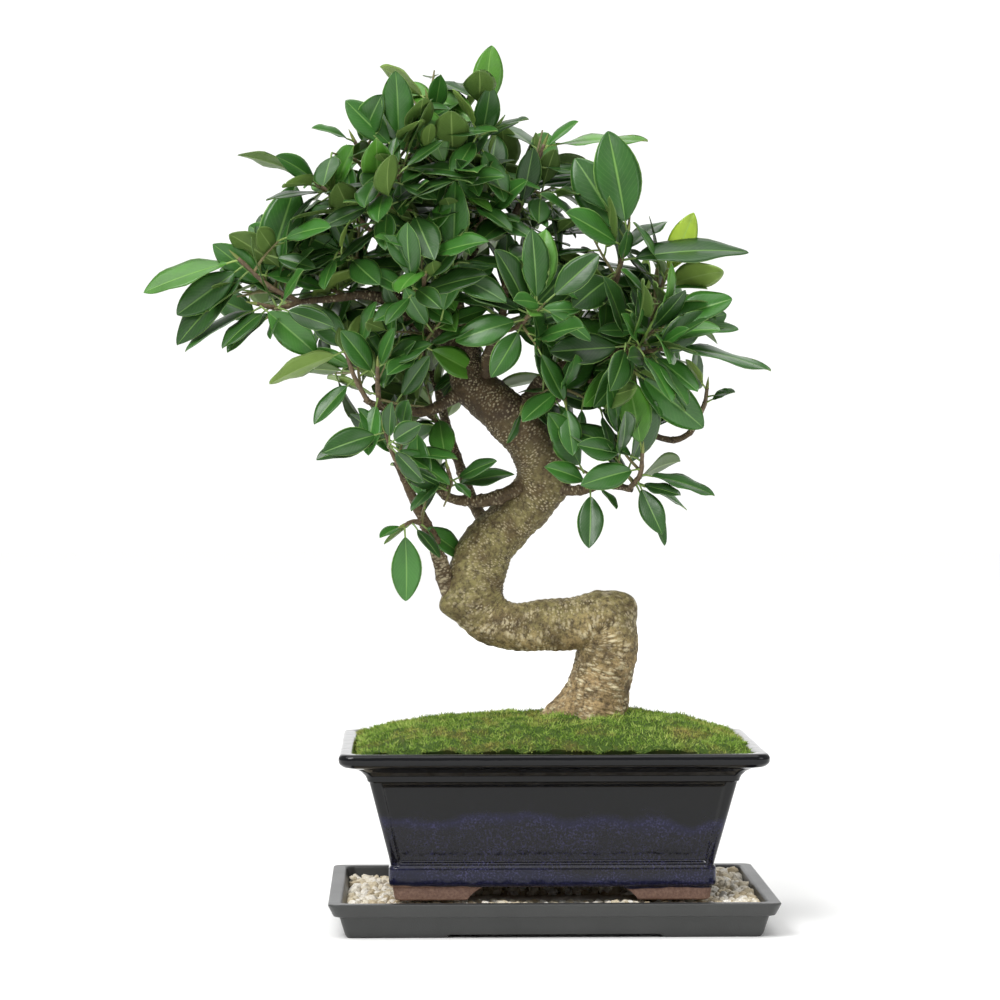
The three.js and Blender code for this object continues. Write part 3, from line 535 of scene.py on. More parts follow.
def buildPebbles():
    draw = random.Random(pebbleBed["seed"])
    template = bpy.data.meshes.new("pebbleTemplate")
    ball = bmesh.new()
    bmesh.ops.create_icosphere(ball, subdivisions=2, radius=1.0)
    ball.to_mesh(template)
    ball.free()
    unitBall = np.array([vertex.co[:] for vertex in template.vertices])
    faces = np.array([polygon.vertices[:] for polygon in template.polygons])
    bpy.data.meshes.remove(template)
    shape = Shape()
    step, jitter = pebbleBed["spacing"], pebbleBed["jitter"]
    halfWidth, halfDepth = pebbleBed["halfWidth"], pebbleBed["halfDepth"]
    rows, columns = round(2 * halfDepth / step), round(2 * halfWidth / step)
    # layer 0 holds the top stones, layer 1 those seen between them
    for layer, row, column in itertools.product((0, 1), range(rows + 1), range(columns + 1)):
        x = -halfWidth + step * (column + 0.5 * ((row + layer) % 2)) + draw.uniform(-jitter, jitter)
        y = -halfDepth + step * (row + 0.5 * layer) + draw.uniform(-jitter, jitter)
        size = draw.uniform(pebbleBed["smallest"], pebbleBed["largest"])
        spin = Euler([draw.uniform(0, 6.28) for axis in range(3)]).to_matrix()
        # a ball cut flat on nine sides
        cuts = [(Vector([draw.gauss(0, 1) for axis in range(3)]).normalized(), draw.uniform(0.62, 0.95))
                for cut in range(pebbleBed["cuts"])]
        tone = draw.random()
        drop = draw.uniform(0.0, 1.6)
        if max(abs(x) - pebbleBed["bareHalfWidth"], abs(y) - pebbleBed["bareHalfDepth"]) < 0:
            continue
        x = max(-halfWidth, min(halfWidth, x))
        y = max(-halfDepth, min(halfDepth, y))
        normals = np.array([normal for normal, depth in cuts])
        depths = np.array([depth for normal, depth in cuts])
        facing = unitBall @ normals.T
        reach = np.where(facing > 0.05, depths / np.maximum(facing, 0.05), 9).min(1)
        points = unitBall * np.minimum(reach, 1.12)[:, None] * (size, size * 0.86, size * 0.72)
        points = points @ np.array(spin).T
        top = points[:, 2].max()
        points += (x, y, pebbleLevel(x, y) - drop - pebbleBed["layerDrop"] * layer - top)
        shape.add(points, faces, tone=tone)
    # fines under the stones
    fines = rectangleRing(120, 83, 5, lambda half, longSide: np.linspace(-half, half, 3))
    rings = np.array([np.column_stack([fines, np.full(len(fines), z)]) for z in (4.4, pebbleBed["finesTop"])])
    addLoft(shape, rings)
    piece = shape.build("pebbles", [finishes["stone"]], smooth=False)
    settle(piece, "pebbles", "pebble_bed")
    return len(piece.data.polygons)


print("pebbles laid:", buildPebbles(), "faces")


# pot

potShape = dict(
    halfWidth=124.5, halfDepth=89.0, foot=18.0, base=26.0, floor=32.0, rim=106.0,
    cornerRim=9.0, cornerWall=5.0,
    panelLow=38.8, panelHigh=88.0, panelHalfLow=90.5, panelHalfHigh=101.0, sunk=2.6, panelEdge=3.2,
    archFront=(50.0, 36.0), archSide=(27.0, 17.0),  # half openings at the table and at the base
    drainHole=9.0, drainOffset=45.0,
    handMade=0.22,  # how far the walls wander from flat
)


def potProfile():
    base, floor, rim = potShape["base"], potShape["floor"], potShape["rim"]
    low, high, edge = potShape["panelLow"], potShape["panelHigh"], potShape["panelEdge"]
    plinth = [(34, base), (30.3, base), (29.2, base + 1.4), (28.9, base + 6), (29.0, 37.0),
              (30.2, low - 0.3)]
    heights = [low + edge * share for share in (0, 0.25, 0.5, 0.75, 1)]
    heights += list(np.linspace(low + edge, high - edge, 14)[1:-1])
    heights += [high - edge * share for share in (1, 0.75, 0.5, 0.25, 0)]
    wall = [(30.1 + (17.7 - 30.1) * (z - low) / (high - low), z) for z in heights]
    # a small ledge, the cove that sweeps out under the rim, then the rolled rim and the inside
    cove = [(17.5, 88.3), (16.5, 88.9), (16.4, 90.0), (15.4, 92.2), (12.8, 94.8), (9.4, 96.6), (6.6, 97.4)]
    roll = [(6.6, 97.4), (3.0, 98.0), (0.3, 100.4), (0, 103.6), (1.4, rim - 0.15), (4.2, rim),
            (7.2, rim - 0.1), (9.2, rim - 1.4), (24.5, 88), (36.5, floor + 1), (37.5, floor), (42, floor)]
    return roundedProfile(plinth, 0.9) + wall + roundedProfile(cove, 0.7) + roundedProfile(roll, 1.3)[1:]


def panelHalf(height):
    share = (height - potShape["panelLow"]) / (potShape["panelHigh"] - potShape["panelLow"])
    low, high = potShape["panelHalfLow"], potShape["panelHalfHigh"]
    return low + (high - low) * min(max(share, 0), 1)


def buildPot():
    stretch = potShape["halfWidth"] - potShape["halfDepth"]
    edge = potShape["panelEdge"]

    def stopsAt(half, longSide, height):
        border = min(panelHalf(height) - (0 if longSide else stretch), half - 0.4)
        outer = [half, (half + border) / 2] + [border - edge * share for share in (0, 0.25, 0.5, 0.75, 1)]
        middle = np.linspace(-(border - edge), border - edge, 17)[1:-1]
        return [-stop for stop in outer] + list(middle) + outer[::-1]

    def cornerAt(inset, height):
        rimShare = min(max((height - 92) / 10, 0), 1)
        return potShape["cornerWall"] + (potShape["cornerRim"] - potShape["cornerWall"]) * rimShare

    profile = potProfile()
    rings = loftRings(potShape["halfWidth"], potShape["halfDepth"], profile, cornerAt, stopsAt)
    low, high = potShape["panelLow"], potShape["panelHigh"]
    for ring, (inset, height) in zip(rings, profile):
        outer = inset <= (20 if height > 86 else 33)  # the pot's inner faces stay flat
        if not outer or not low <= height <= high:
            continue
        upright = min((height - low) / edge, (high - height) / edge, 1)
        for point in ring:
            longSide = abs(point[1]) - (potShape["halfDepth"] - inset) > -1e-6
            shortSide = abs(point[0]) - (potShape["halfWidth"] - inset) > -1e-6
            if not (longSide or shortSide):
                continue
            axis = 1 if longSide else 0
            border = panelHalf(height) - (0 if longSide else stretch)
            inside = min(max((border - abs(point[1 - axis])) / edge, 0), upright)
            depth = potShape["sunk"] * inside * inside * (3 - 2 * inside)
            point[axis] -= math.copysign(depth, point[axis])
    outward = np.sign(rings[..., :2])
    rings[..., :2] += outward * (potShape["handMade"] * softNoise(rings, 45, 2.0))[..., None]
    shape = Shape()
    addLoft(shape, rings)
    body = shape.build("pot", [finishes["glaze"]])
    for side in (-1, 1):
        drill(body, side * potShape["drainOffset"])
    feet = Shape()
    for quarter in range(4):
        addFoot(feet, quarter)
    footPiece = feet.build("potFeet", [finishes["glaze"]])
    for piece in (body, footPiece):
        evenShading(piece)
    settle(body, "pot_glaze", "pot")
    settle(footPiece, "pot_glaze", "pot")


def drill(body, x):
    # cuts one drain hole through the pot's floor
    bit = Shape()
    turn = np.linspace(0, 2 * math.pi, 48, endpoint=False)
    ring = np.column_stack([x + potShape["drainHole"] * np.cos(turn), potShape["drainHole"] * np.sin(turn)])
    levels = (potShape["base"] - 3, potShape["floor"] + 3)
    addLoft(bit, np.array([np.column_stack([ring, np.full(48, z)]) for z in levels]))
    cutter = bit.build("drainBit", [finishes["glaze"]])
    cut = body.modifiers.new("drain", "BOOLEAN")
    cut.operation, cut.solver, cut.object = "DIFFERENCE", "EXACT", cutter
    bpy.context.view_layer.update()
    drilled = bpy.data.meshes.new_from_object(body.evaluated_get(bpy.context.evaluated_depsgraph_get()))
    body.modifiers.clear()
    body.data = drilled
    bpy.data.objects.remove(cutter)


def archRise(place, opening):
    # height of the arch over the foot's bottom, place measured from the middle of the side
    wide, narrow = opening
    share = min(max((wide - abs(place)) / (wide - narrow), 0), 1)
    return (potShape["base"] + 0.6 - potShape["foot"]) * math.sin(share * math.pi / 2) ** 0.8


def addFoot(shape, quarter):
    # an L-shaped foot round one corner, its ends cut back by the arches
    base, bottom, corner = potShape["base"], potShape["foot"], potShape["cornerWall"]
    # outer face from the base down, then the inner face back up
    section = [(31.0, base + 1.2), (31.0, base + 0.2), (32.3, bottom + 1.0), (32.8, bottom + 0.25),
               (33.6, bottom), (43.6, bottom), (44.6, bottom + 0.8), (45.0, base + 1.2)]
    outward = np.array([round(math.cos(quarter * math.pi / 2)), round(math.sin(quarter * math.pi / 2))])
    along = np.array([-outward[1], outward[0]])
    sides = [(potShape["halfDepth"], potShape["archSide"]), (potShape["halfWidth"], potShape["archFront"])]
    (firstHalf, firstArch), (secondHalf, secondArch) = sides[quarter % 2], sides[(quarter + 1) % 2]

    def stopsFor(half, arch):
        return np.concatenate([np.linspace(arch[1] - 1, arch[0], 12),
                               np.linspace(arch[0], half - 31 - corner, 8)[1:]])

    steps = [("first", stop, archRise(stop, firstArch)) for stop in stopsFor(firstHalf, firstArch)]
    steps += [("corner", stop, 0) for stop in np.linspace(0, math.pi / 2, 8)[1:-1]]
    steps += [("second", stop, archRise(stop, secondArch)) for stop in stopsFor(secondHalf, secondArch)[::-1]]
    rings = []
    for part, stop, rise in steps:
        ring = []
        for inset, z in section:
            rounding = max(corner - (inset - 31) * 0.5, 0.5)
            farFirst, farSecond = firstHalf - inset, secondHalf - inset
            if part == "first":
                place = outward * farSecond + along * min(stop, farFirst - rounding)
            elif part == "second":
                place = along * farFirst + outward * min(stop, farSecond - rounding)
            else:
                place = outward * (farSecond - rounding + rounding * math.cos(stop))
                place = place + along * (farFirst - rounding + rounding * math.sin(stop))
            lowest = min(bottom + rise + (z - bottom) * 0.15, base + 1.1) if rise else z
            ring.append((place[0], place[1], max(z, lowest)))
        rings.append(ring)
    addLoft(shape, np.array(rings))


buildPot()
print("pot built")


# soil, drain meshes and clips keep their own solids

def refinish(node, material):
    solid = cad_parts[node]
    for holder in solid.material_slots:
        holder.material = material


refinish("soil", finishes["loam"])
for side in ("left", "right"):
    refinish("drain_mesh_" + side, finishes["netting"])
    refinish("mesh_clip_" + side, finishes["wire"])


# moss

mossBed = dict(
    seed=5, halfWidth=113.6, halfDepth=79.2, depth=5.0,
    fronds=40000, shortest=1.5, tallest=4.2, girth=0.45,
    trunkAt=26.0, trunkClear=20.0,  # no fronds inside the trunk's foot
    endX=117.0, endY=81.5, mound=18.5, fuller=4.0, fullerAt=62.0, fullerWide=38.0,
)


def mossTop(x, y):
    # a mound that falls to just under the rim, fuller to the right of the trunk
    inside = np.maximum(0, (1 - (x / mossBed["endX"]) ** 2) * (1 - (y / mossBed["endY"]) ** 2))
    fuller = mossBed["fuller"] * np.exp(-(((x - mossBed["fullerAt"]) / mossBed["fullerWide"]) ** 2))
    return potShape["rim"] - 2.5 + mossBed["mound"] * inside ** 0.55 + fuller * inside ** 0.6


def mossLumps(flat):
    return 2.2 * softNoise(flat, 19, 1.0) + 1.8 * softNoise(flat, 7, 4.0)


def buildMoss():
    draw = np.random.default_rng(mossBed["seed"])
    halfWidth, halfDepth = mossBed["halfWidth"], mossBed["halfDepth"]
    x, y = np.meshgrid(np.linspace(-halfWidth, halfWidth, 120), np.linspace(-halfDepth, halfDepth, 84))
    flat = np.stack([x, y, 0 * x], -1)
    top = np.stack([x, y, mossTop(x, y) + mossLumps(flat)], -1)
    under = np.stack([0.955 * x, 0.955 * y, mossTop(x, y) - mossBed["depth"]], -1)
    shape = Shape()
    rows, columns = x.shape
    i, j = np.arange(rows - 1)[:, None] * columns, np.arange(columns - 1)[None, :]
    faces = np.stack([i + j, i + j + 1, i + j + 1 + columns, i + j + columns], -1).reshape(-1, 4)
    border = np.concatenate([
        np.arange(columns - 1), np.arange(rows - 1) * columns + columns - 1,
        rows * columns - 1 - np.arange(columns - 1), (np.arange(rows - 1, 0, -1)) * columns])
    ahead = np.roll(border, -1)
    count = rows * columns
    skirt = np.stack([border + count, ahead + count, ahead, border], -1)
    both = np.concatenate([faces, faces[:, ::-1] + count, skirt])
    # the mat under the fronds takes the darker moss finish: its own colour with painted shade of the fronds
    # over it
    shape.add(np.concatenate([top.reshape(-1, 3), under.reshape(-1, 3)]), both, tone=0.3)
    # fronds: slim three-sided spikes leaning every way
    count = mossBed["fronds"]
    px = draw.uniform(-halfWidth, halfWidth, count)
    py = draw.uniform(-halfDepth, halfDepth, count)
    clear = np.hypot(px - mossBed["trunkAt"], py) > mossBed["trunkClear"]
    px, py = px[clear], py[clear]
    count = len(px)
    root = np.stack([px, py, 0 * px], -1)
    clump = softNoise(root, 6, 8.0)
    root[:, 2] = mossTop(px, py) - 0.8 + mossLumps(root)
    outward = 0.8 * np.stack([(px / mossBed["endX"]) ** 7, (py / mossBed["endY"]) ** 7], -1)
    lean = draw.normal(0, 1.1, (count, 2)) + outward
    upward = np.column_stack([lean, np.ones(count)])
    upward /= np.linalg.norm(upward, axis=1, keepdims=True)
    length = draw.uniform(mossBed["shortest"], mossBed["tallest"], count) * (1 + 0.6 * clump)
    spin = draw.uniform(0, 2 * math.pi, count)
    sideways = np.column_stack([np.cos(spin), np.sin(spin), np.zeros(count)])
    across = np.cross(upward, sideways)
    corners = [root + mossBed["girth"] * (sideways * math.cos(turn) + across * math.sin(turn))
               for turn in (0, 2.1, 4.2)]
    tip = root + upward * length[:, None]
    points = np.stack(corners + [tip], 1)
    base = np.arange(count)[:, None, None] * 4
    faces = (base + np.array([[0, 2, 1], [0, 1, 3], [1, 2, 3], [2, 0, 3]])).reshape(-1, 3)
    tone = np.clip(draw.normal(0.48, 0.22, count) + 0.5 * clump + 0.25 * softNoise(root, 24, 3.0), 0, 1)
    shape.add(points, faces, slot=1, tone=np.repeat(tone, 4))
    piece = shape.build("moss", [finishes["mossMatWithPaintedShade"], finishes["moss"]], smooth=False)
    settle(piece, "moss", "moss")


buildMoss()
print("moss grown")


# trunk and branches

trunkRoute = [
    (20, 0, 80), (23, 0, 100), (26, 0, 122), (30, -1, 137), (34, -2, 152), (36, -3, 168),
    (32, -4, 179), (16, -5, 177.5), (-3, -5, 176), (-21, -4, 175), (-36, -3, 180), (-44, -2, 192),
    (-43, 0, 208), (-37, 1, 222), (-24, 2, 236), (-11, 2, 249), (-4, 1, 262), (-5, 0, 275),
    (-12, -1, 287), (-23, -2, 299), (-36, -1, 310), (-46, 0, 320), (-50, 1, 332), (-49, 1, 344),
]

trunkRadii = [
    18, 24, 22, 20, 18.8, 18.5, 17.5, 15.8, 14.5, 13.8, 15, 16.5, 17, 15.5, 14.5, 15, 15.5, 15.5, 15, 15,
    14.5, 12.5, 10, 7,
]

# each branch: its forks, each with its route and its radius at both ends
branches = {
    "branch_low_left": [
        ([(-48, -4, 190), (-58, -6, 194), (-62, -8, 203), (-65, -9, 214), (-71, -9, 230),
          (-78, -9, 245), (-84, -12, 258), (-91, -15, 273)], 6, 2),
    ],
    "branch_stub": [
        ([(-11, -2, 262), (-23, -8, 255), (-35, -8, 251), (-48, -6, 250), (-60, -6, 252),
          (-70, -10, 261), (-78, -14, 267)], 5, 1.8),
    ],
    "branch_back_left": [
        ([(-34, 4, 233), (-42, 14, 243), (-48, 22, 256), (-54, 28, 274), (-60, 32, 292),
          (-65, 36, 313), (-71, 40, 331), (-77, 44, 347)], 4, 1.6),
    ],
    "branch_low_right": [
        ([(-3, -4, 259), (15, -12, 256), (32, -18, 260), (48, -28, 257)], 4, 1.8),
    ],
    "branch_left_thin": [
        ([(-48, -2, 317), (-61, -6, 309), (-74, -10, 303), (-89, -13, 304), (-101, -16, 306),
          (-110, -18, 310)], 4, 1.6),
    ],
    "branch_left": [
        ([(-48, 0, 336), (-62, -4, 347), (-77, -8, 355), (-89, -8, 366), (-97, -6, 387),
          (-96, -3, 408), (-91, 0, 426)], 6.5, 2),
        ([(-89, -8, 366), (-107, -10, 372), (-127, -12, 370), (-148, -12, 368)], 3.4, 1.6),
    ],
    "leader": [
        ([(-49, 1, 338), (-55, 1, 361), (-58, 2, 379), (-59, 4, 410), (-59, 6, 436),
          (-63, 6, 460)], 7, 1.8),
        ([(-58, 4, 404), (-44, 5, 408), (-26, 8, 414), (-16, 8, 427)], 3, 1.6),
    ],
    "branch_front": [
        ([(-38, -4, 318), (-37, -14, 336), (-31, -24, 350), (-27, -24, 369),
          (-28, -18, 392)], 3.6, 1.5),
    ],
    "branch_right": [
        ([(-17, -2, 300), (-3, -6, 320), (12, -9, 330), (30, -12, 336), (44, -16, 339)], 7, 2.2),
        ([(22, -11, 334), (30, -8, 349), (35, -6, 366)], 3, 1.6),
        ([(18, -9, 332), (34, 2, 311), (55, 4, 293), (74, 2, 286), (84, 0, 290),
          (90, -2, 301)], 2.8, 1.4),
    ],
    "branch_back_right": [
        ([(-10, 4, 292), (0, 18, 308), (18, 36, 322), (34, 52, 334), (44, 62, 344)], 5, 1.8),
    ],
    "branch_back_high": [
        ([(-58, 4, 370), (-52, 22, 384), (-44, 38, 400), (-38, 50, 416)], 3.6, 1.6),
    ],
}

# root ridges round the foot: bearing from above in degrees, reach
roots = [(180, 15), (150, 9), (215, 12), (262, 10), (310, 8), (355, 8), (40, 8), (95, 10)]
# swellings on the trunk: place, height, size
knots = [((-58, -8, 188), 6.0, 7.0), ((13, -6, 257), 4.0, 8.0), ((50, -4, 190), 6.0, 10.0)]

bark = dict(
    lumps=((26, 1.5), (10, 0.8), (3.6, 0.4)),  # size and height of its unevenness
    rings=(4.2, 0.16),  # spacing and height of the growth rings
    flareTop=142.0, flareFoot=112.0,
)


def trunkRelief(centres, spokes, reach, turn, share, travelled):
    swell = 0.05 * np.sin(2 * turn + 9 * share[:, None]) + 0.03 * np.sin(3 * turn - 14 * share[:, None])
    points = centres[:, None] + spokes * reach[..., None]
    relief = reach * swell
    for seed, (size, height) in enumerate(bark["lumps"]):
        relief += height * softNoise(points, size, 3.0 * seed + 1)
    spacing, height = bark["rings"]
    phase = travelled[:, None] / spacing * 2 * math.pi + 2.5 * softNoise(points, 16, 12.0)
    relief += height * np.sin(phase)
    fall = np.clip((bark["flareTop"] - centres[:, 2]) / (bark["flareTop"] - bark["flareFoot"]), 0, 1) ** 2
    bearing = np.arctan2(spokes[..., 1], spokes[..., 0])
    for degrees, height in roots:
        away = (bearing - math.radians(degrees) + math.pi) % (2 * math.pi) - math.pi
        relief += fall[:, None] * height * np.exp(-(away / 0.30) ** 2)
    for place, height, size in knots:
        apart = np.linalg.norm(points - np.array(place), axis=-1)
        relief += height * np.exp(-(apart / size) ** 2)
    return relief


def branchRelief(centres, spokes, reach, turn, share, travelled):
    points = centres[:, None] + spokes * reach[..., None]
    # thickened nodes every 11 mm
    phase = travelled[:, None] / 11 * 2 * math.pi + 1.5 * softNoise(points, 30, 2.0)
    nodes = np.maximum(0, np.cos(phase)) ** 8
    slim = np.clip(reach / 3, 0.4, 1.4)
    return slim * (0.55 * softNoise(points, 9, 6.0) + 0.3 * softNoise(points, 3, 9.0) + 0.45 * nodes)


def buildWood():
    shape = Shape()
    addLimb(shape, trunkRoute, trunkRadii, 144, 580, trunkRelief)
    settle(shape.build("trunk", [finishes["bark"]]), "bark", "trunk")
    for name, forks in branches.items():
        shape = Shape()
        for route, thick, thin in forks:
            length = sum(math.dist(a, b) for a, b in zip(route, route[1:]))
            addLimb(shape, route, [thick, thin], 20, int(length / 1.1), branchRelief)
        settle(shape.build(name, [finishes["branchBark"]]), "bark", name)


buildWood()
print("trunk and branches grown")


# shoots

# each shoot: its twig; its leaves as bearing, length, lean and roll; how far more leaves fill it
shoots = {
    "left_tip_high": ([(-148, -12, 368), (-166, -20, 377), (-184, -30, 393)],
        [(193, 52, 0, 60), (216, 42, 5, 10), (220, 54, 0, 45)], 1),
    "left_tip": ([(-148, -12, 368), (-163, -14, 373), (-171, -15, 380)],
        [(71, 54, 0, 0), (140, 36, 25, 5), (139, 38, -5, 25), (40, 30, -50, 55)], 2),
    "left_tip_low": ([(-148, -12, 368), (-160, -24, 364), (-173, -34, 366)],
        [(321, 38, 0, 0), (201, 46, 0, 75), (211, 34, 35, 55), (214, 34, 20, 60),
         (234, 20, 45, 70)], 0),
    "left_high": ([(-96, -5, 400), (-120, -6, 424), (-140, -5, 440)],
        [(150, 41, 5, 110), (135, 32, 45, 50), (181, 36, 35, 75), (75, 36, 50, 60)], 2),
    "left_peak": ([(-92, -2, 420), (-107, -4, 446), (-116, -5, 464)],
        [(150, 26, 40, 70), (70, 36, 45, 30)], 2),
    "peak_left": ([(-91, 0, 424), (-90, -12, 442), (-90, -22, 462)],
        [(89, 36, 25, 0), (137, 36, 5, 15)], 2),
    "peak_left_front": ([(-95, -4, 410), (-101, -24, 422), (-102, -38, 432)],
        [(90, 40, 60, 0), (102, 34, -55, 40), (200, 30, 20, 50)], 1),
    "leader_front": ([(-59, 4, 410), (-60, -12, 428), (-61, -28, 444)],
        [(110, 36, 10, 0), (148, 36, -40, 40), (18, 32, 40, 60)], 2),
    "crown_mid": ([(-50, 4, 406), (-41, -10, 416), (-41, -20, 430)],
        [(151, 52, 0, 75), (118, 34, 55, 30), (337, 34, 40, 55), (47, 34, 40, 45)], 2),
    "crown_top_back": ([(-62, 6, 458), (-68, 6, 474), (-72, 5, 489)],
        [(130, 34, -30, 110), (125, 30, -45, 10), (75, 24, 45, 0)], 1),
    "crown_top": ([(-59, 5, 424), (-43, -4, 456), (-38, -12, 478)],
        [(88, 36, 10, 0), (147, 36, -20, 10), (154, 44, 0, 70), (36, 22, 40, 65), (76, 34, 40, 15)], 2),
    "crown_right": ([(-22, 8, 418), (-11, 2, 441), (-3, -5, 462)],
        [(11, 54, 5, 75), (51, 24, 25, 70), (8, 32, -40, 110), (0, 28, 25, 65), (65, 36, -40, 10),
         (22, 30, -30, 50)], 2),
    "right_top": ([(35, -6, 364), (41, -20, 388), (45, -34, 408)],
        [(99, 54, 5, 0), (119, 50, 0, 5), (148, 42, 40, 45), (50, 38, -35, 50), (13, 67, 0, 55),
         (68, 20, 45, 50)], 2),
    "right_young": ([(50, -14, 340), (62, -8, 362), (69, -3, 383)],
        [(65, 36, 15, 0), (20, 38, 35, 150), (340, 34, 35, 45)], 2),
    "right_upper": ([(40, -15, 338), (53, -22, 343), (63, -28, 356)],
        [(20, 40, 5, 35), (7, 44, 0, 55), (11, 38, 30, 60), (122, 48, -10, 60), (162, 48, 10, 40)], 2),
    "right_long": ([(43, -16, 338), (55, -30, 338), (69, -42, 341)],
        [(358, 54, 0, 70), (42, 28, 30, 75), (45, 20, 40, 55), (322, 34, 35, 40)], 1),
    "centre_front": ([(-31, -24, 350), (-19, -38, 353), (-11, -52, 363)],
        [(80, 40, 5, 0), (153, 34, 15, 55), (193, 36, 5, 15), (242, 32, 30, 0), (20, 34, 30, 50)], 1),
    "right_mid": ([(36, -14, 337), (44, -26, 332), (49, -38, 326)],
        [(323, 46, 0, 5), (338, 30, 30, 115), (172, 30, -45, 35), (255, 30, 35, 30)], 1),
    "right_low": ([(46, -27, 257), (52, -38, 266), (53, -45, 279)],
        [(99, 38, 5, 0), (148, 44, 0, 55), (190, 34, 30, 20), (356, 38, 0, 65), (294, 30, 25, 5),
         (302, 34, 5, 65), (350, 24, 35, 50), (343, 34, -25, 70)], 2),
    "right_low_inner": ([(31, -18, 260), (27, -30, 261), (22, -42, 259)],
        [(270, 32, 30, 0), (152, 26, 30, 35), (316, 18, 40, 65)], 0),
    "centre_right": ([(6, -8, 327), (7, -24, 318), (8, -38, 309)],
        [(278, 28, 30, 0), (286, 26, -40, 45), (167, 28, -40, 65), (215, 30, 35, 40)], 1),
    "trunk_sprig": ([(-14, -6, 308), (-15, -20, 309), (-17, -29, 306)],
        [(258, 20, 30, 65)], 0),
    "left_inner": ([(-80, -8, 357), (-76, -30, 370), (-74, -48, 384)],
        [(139, 28, 30, 10), (117, 22, 35, 45), (53, 32, 30, 40), (19, 36, 5, 5), (357, 36, 5, 65),
         (199, 28, 35, 50), (328, 22, 45, 25)], 2),
    "left_inner_low": ([(-70, -6, 351), (-75, -24, 343), (-77, -40, 336)],
        [(206, 24, 45, 45), (196, 22, 45, 55), (26, 28, 25, 55), (334, 36, -25, 20)], 1),
    "left_mid_far": ([(-108, -18, 309), (-116, -24, 324), (-121, -30, 340)],
        [(197, 42, 5, 125), (76, 26, -35, 135), (100, 28, -45, 150), (172, 32, -20, 120),
         (222, 30, 20, 40)], 2),
    "left_mid": ([(-101, -16, 306), (-102, -26, 317), (-102, -38, 330)],
        [(32, 30, 30, 60), (77, 26, 40, 50), (123, 32, 30, 35), (117, 28, -40, 150),
         (66, 28, -45, 50), (255, 30, 20, 30)], 1),
    "left_low_end": ([(-88, -14, 268), (-94, -24, 280), (-98, -32, 292)],
        [(193, 34, 30, 25), (191, 36, 15, 50), (333, 36, 15, 50), (329, 38, -20, 35),
         (8, 32, 20, 70), (120, 32, 20, 40)], 2),
    "stub_shoot": ([(-62, -7, 253), (-59, -18, 261), (-61, -30, 270)],
        [(101, 34, -35, 5), (216, 26, 25, 65), (325, 16, 50, 55), (34, 26, 30, 55),
         (19, 32, 10, 55)], 1),
    "left_hanging": ([(-73, -9, 234), (-80, -20, 238), (-87, -34, 236)],
        [(274, 38, 0, 0), (195, 18, 45, 65), (316, 22, 30, 55), (210, 20, 30, 115),
         (325, 34, -25, 40)], 0),
    "left_inner_far": ([(-97, -6, 386), (-109, -4, 392), (-120, -2, 396)],
        [(155, 38, 0, 5), (187, 30, 30, 45), (32, 36, 20, 40)], 2),
    "leader_side": ([(-57, 2, 374), (-65, -12, 384), (-68, -26, 393)],
        [(81, 30, -45, 25), (90, 22, 30, 110), (313, 22, 50, 50), (150, 32, 20, 30)], 2),
    "crown_back_right": ([(-26, 8, 414), (-12, 12, 410), (-2, 12, 408)],
        [(166, 34, -20, 55), (16, 36, -30, 55), (50, 34, -40, 45), (330, 34, 10, 40)], 2),
    "centre_back": ([(28, -9, 345), (18, -1, 356), (12, 2, 368)],
        [(107, 36, -20, 10), (160, 34, 10, 45), (60, 34, -20, 50)], 2),
    "right_low_far": ([(89, -1, 299), (93, -4, 308), (94, -8, 317)],
        [(122, 20, 25, 120), (20, 14, 40, 65), (38, 14, 35, 65)], 1),
    "back_left_low": ([(-75, 42, 341), (-84, 52, 354), (-92, 58, 366)],
        [], 8),
    "back_left_mid": ([(-60, 32, 292), (-66, 44, 297), (-76, 54, 304)],
        [], 8),
    "back_left_tip": ([(-120, -11, 371), (-132, 12, 378), (-142, 28, 388)],
        [], 8),
    "back_right_end": ([(42, 60, 342), (51, 66, 352), (58, 68, 364)],
        [], 8),
    "back_top": ([(-39, 49, 414), (-36, 57, 427), (-36, 60, 440)],
        [], 8),
}

leafShape = dict(
    seed=29, petiole=7.0, petioleRadius=0.62, widthShare=0.50, narrowest=9.0, widest=28.0,
    thickness=0.42, fold=0.14, curl=0.15, waves=0.9, widestAt=0.50, bluntness=0.66,
    rows=17, sprayRows=12, extraFill=1.6,
    twigRadii=(1.7, 1.15), spiral=137.5,  # degrees from one leaf to the next round a twig
    sprays=4, lowSprays=2, lowBelow=345.0,  # side twigs on each shoot, fewer on those that end low
    sprayLeaves=5, sprayTwig=26.0, sprayLeaf=33.0,
)
crownMiddle = np.array([-45.0, 0.0, 350.0])
bareTrunk = (-38.0, 312.0, 42.0, 46.0)  # middle and half sizes of the window that shows the trunk
# the crown's outline from the front; the leaves of the side twigs stay inside it
crownOutline = np.array([
    (-214, 391), (-193, 408), (-171, 426), (-155, 447), (-131, 468), (-119, 486), (-92, 504),
    (-65, 510), (-35, 507), (-17, 489), (-2, 474), (25, 465), (42, 453), (57, 429), (69, 408),
    (90, 391), (105, 370), (111, 349), (96, 328), (90, 310), (84, 286), (72, 268), (54, 262),
    (30, 268), (16, 277), (7, 292), (-11, 310), (-29, 322), (-53, 328), (-65, 286), (-65, 250),
    (-89, 268), (-119, 280), (-131, 298), (-137, 322), (-155, 346), (-178, 358), (-205, 370),
], float)


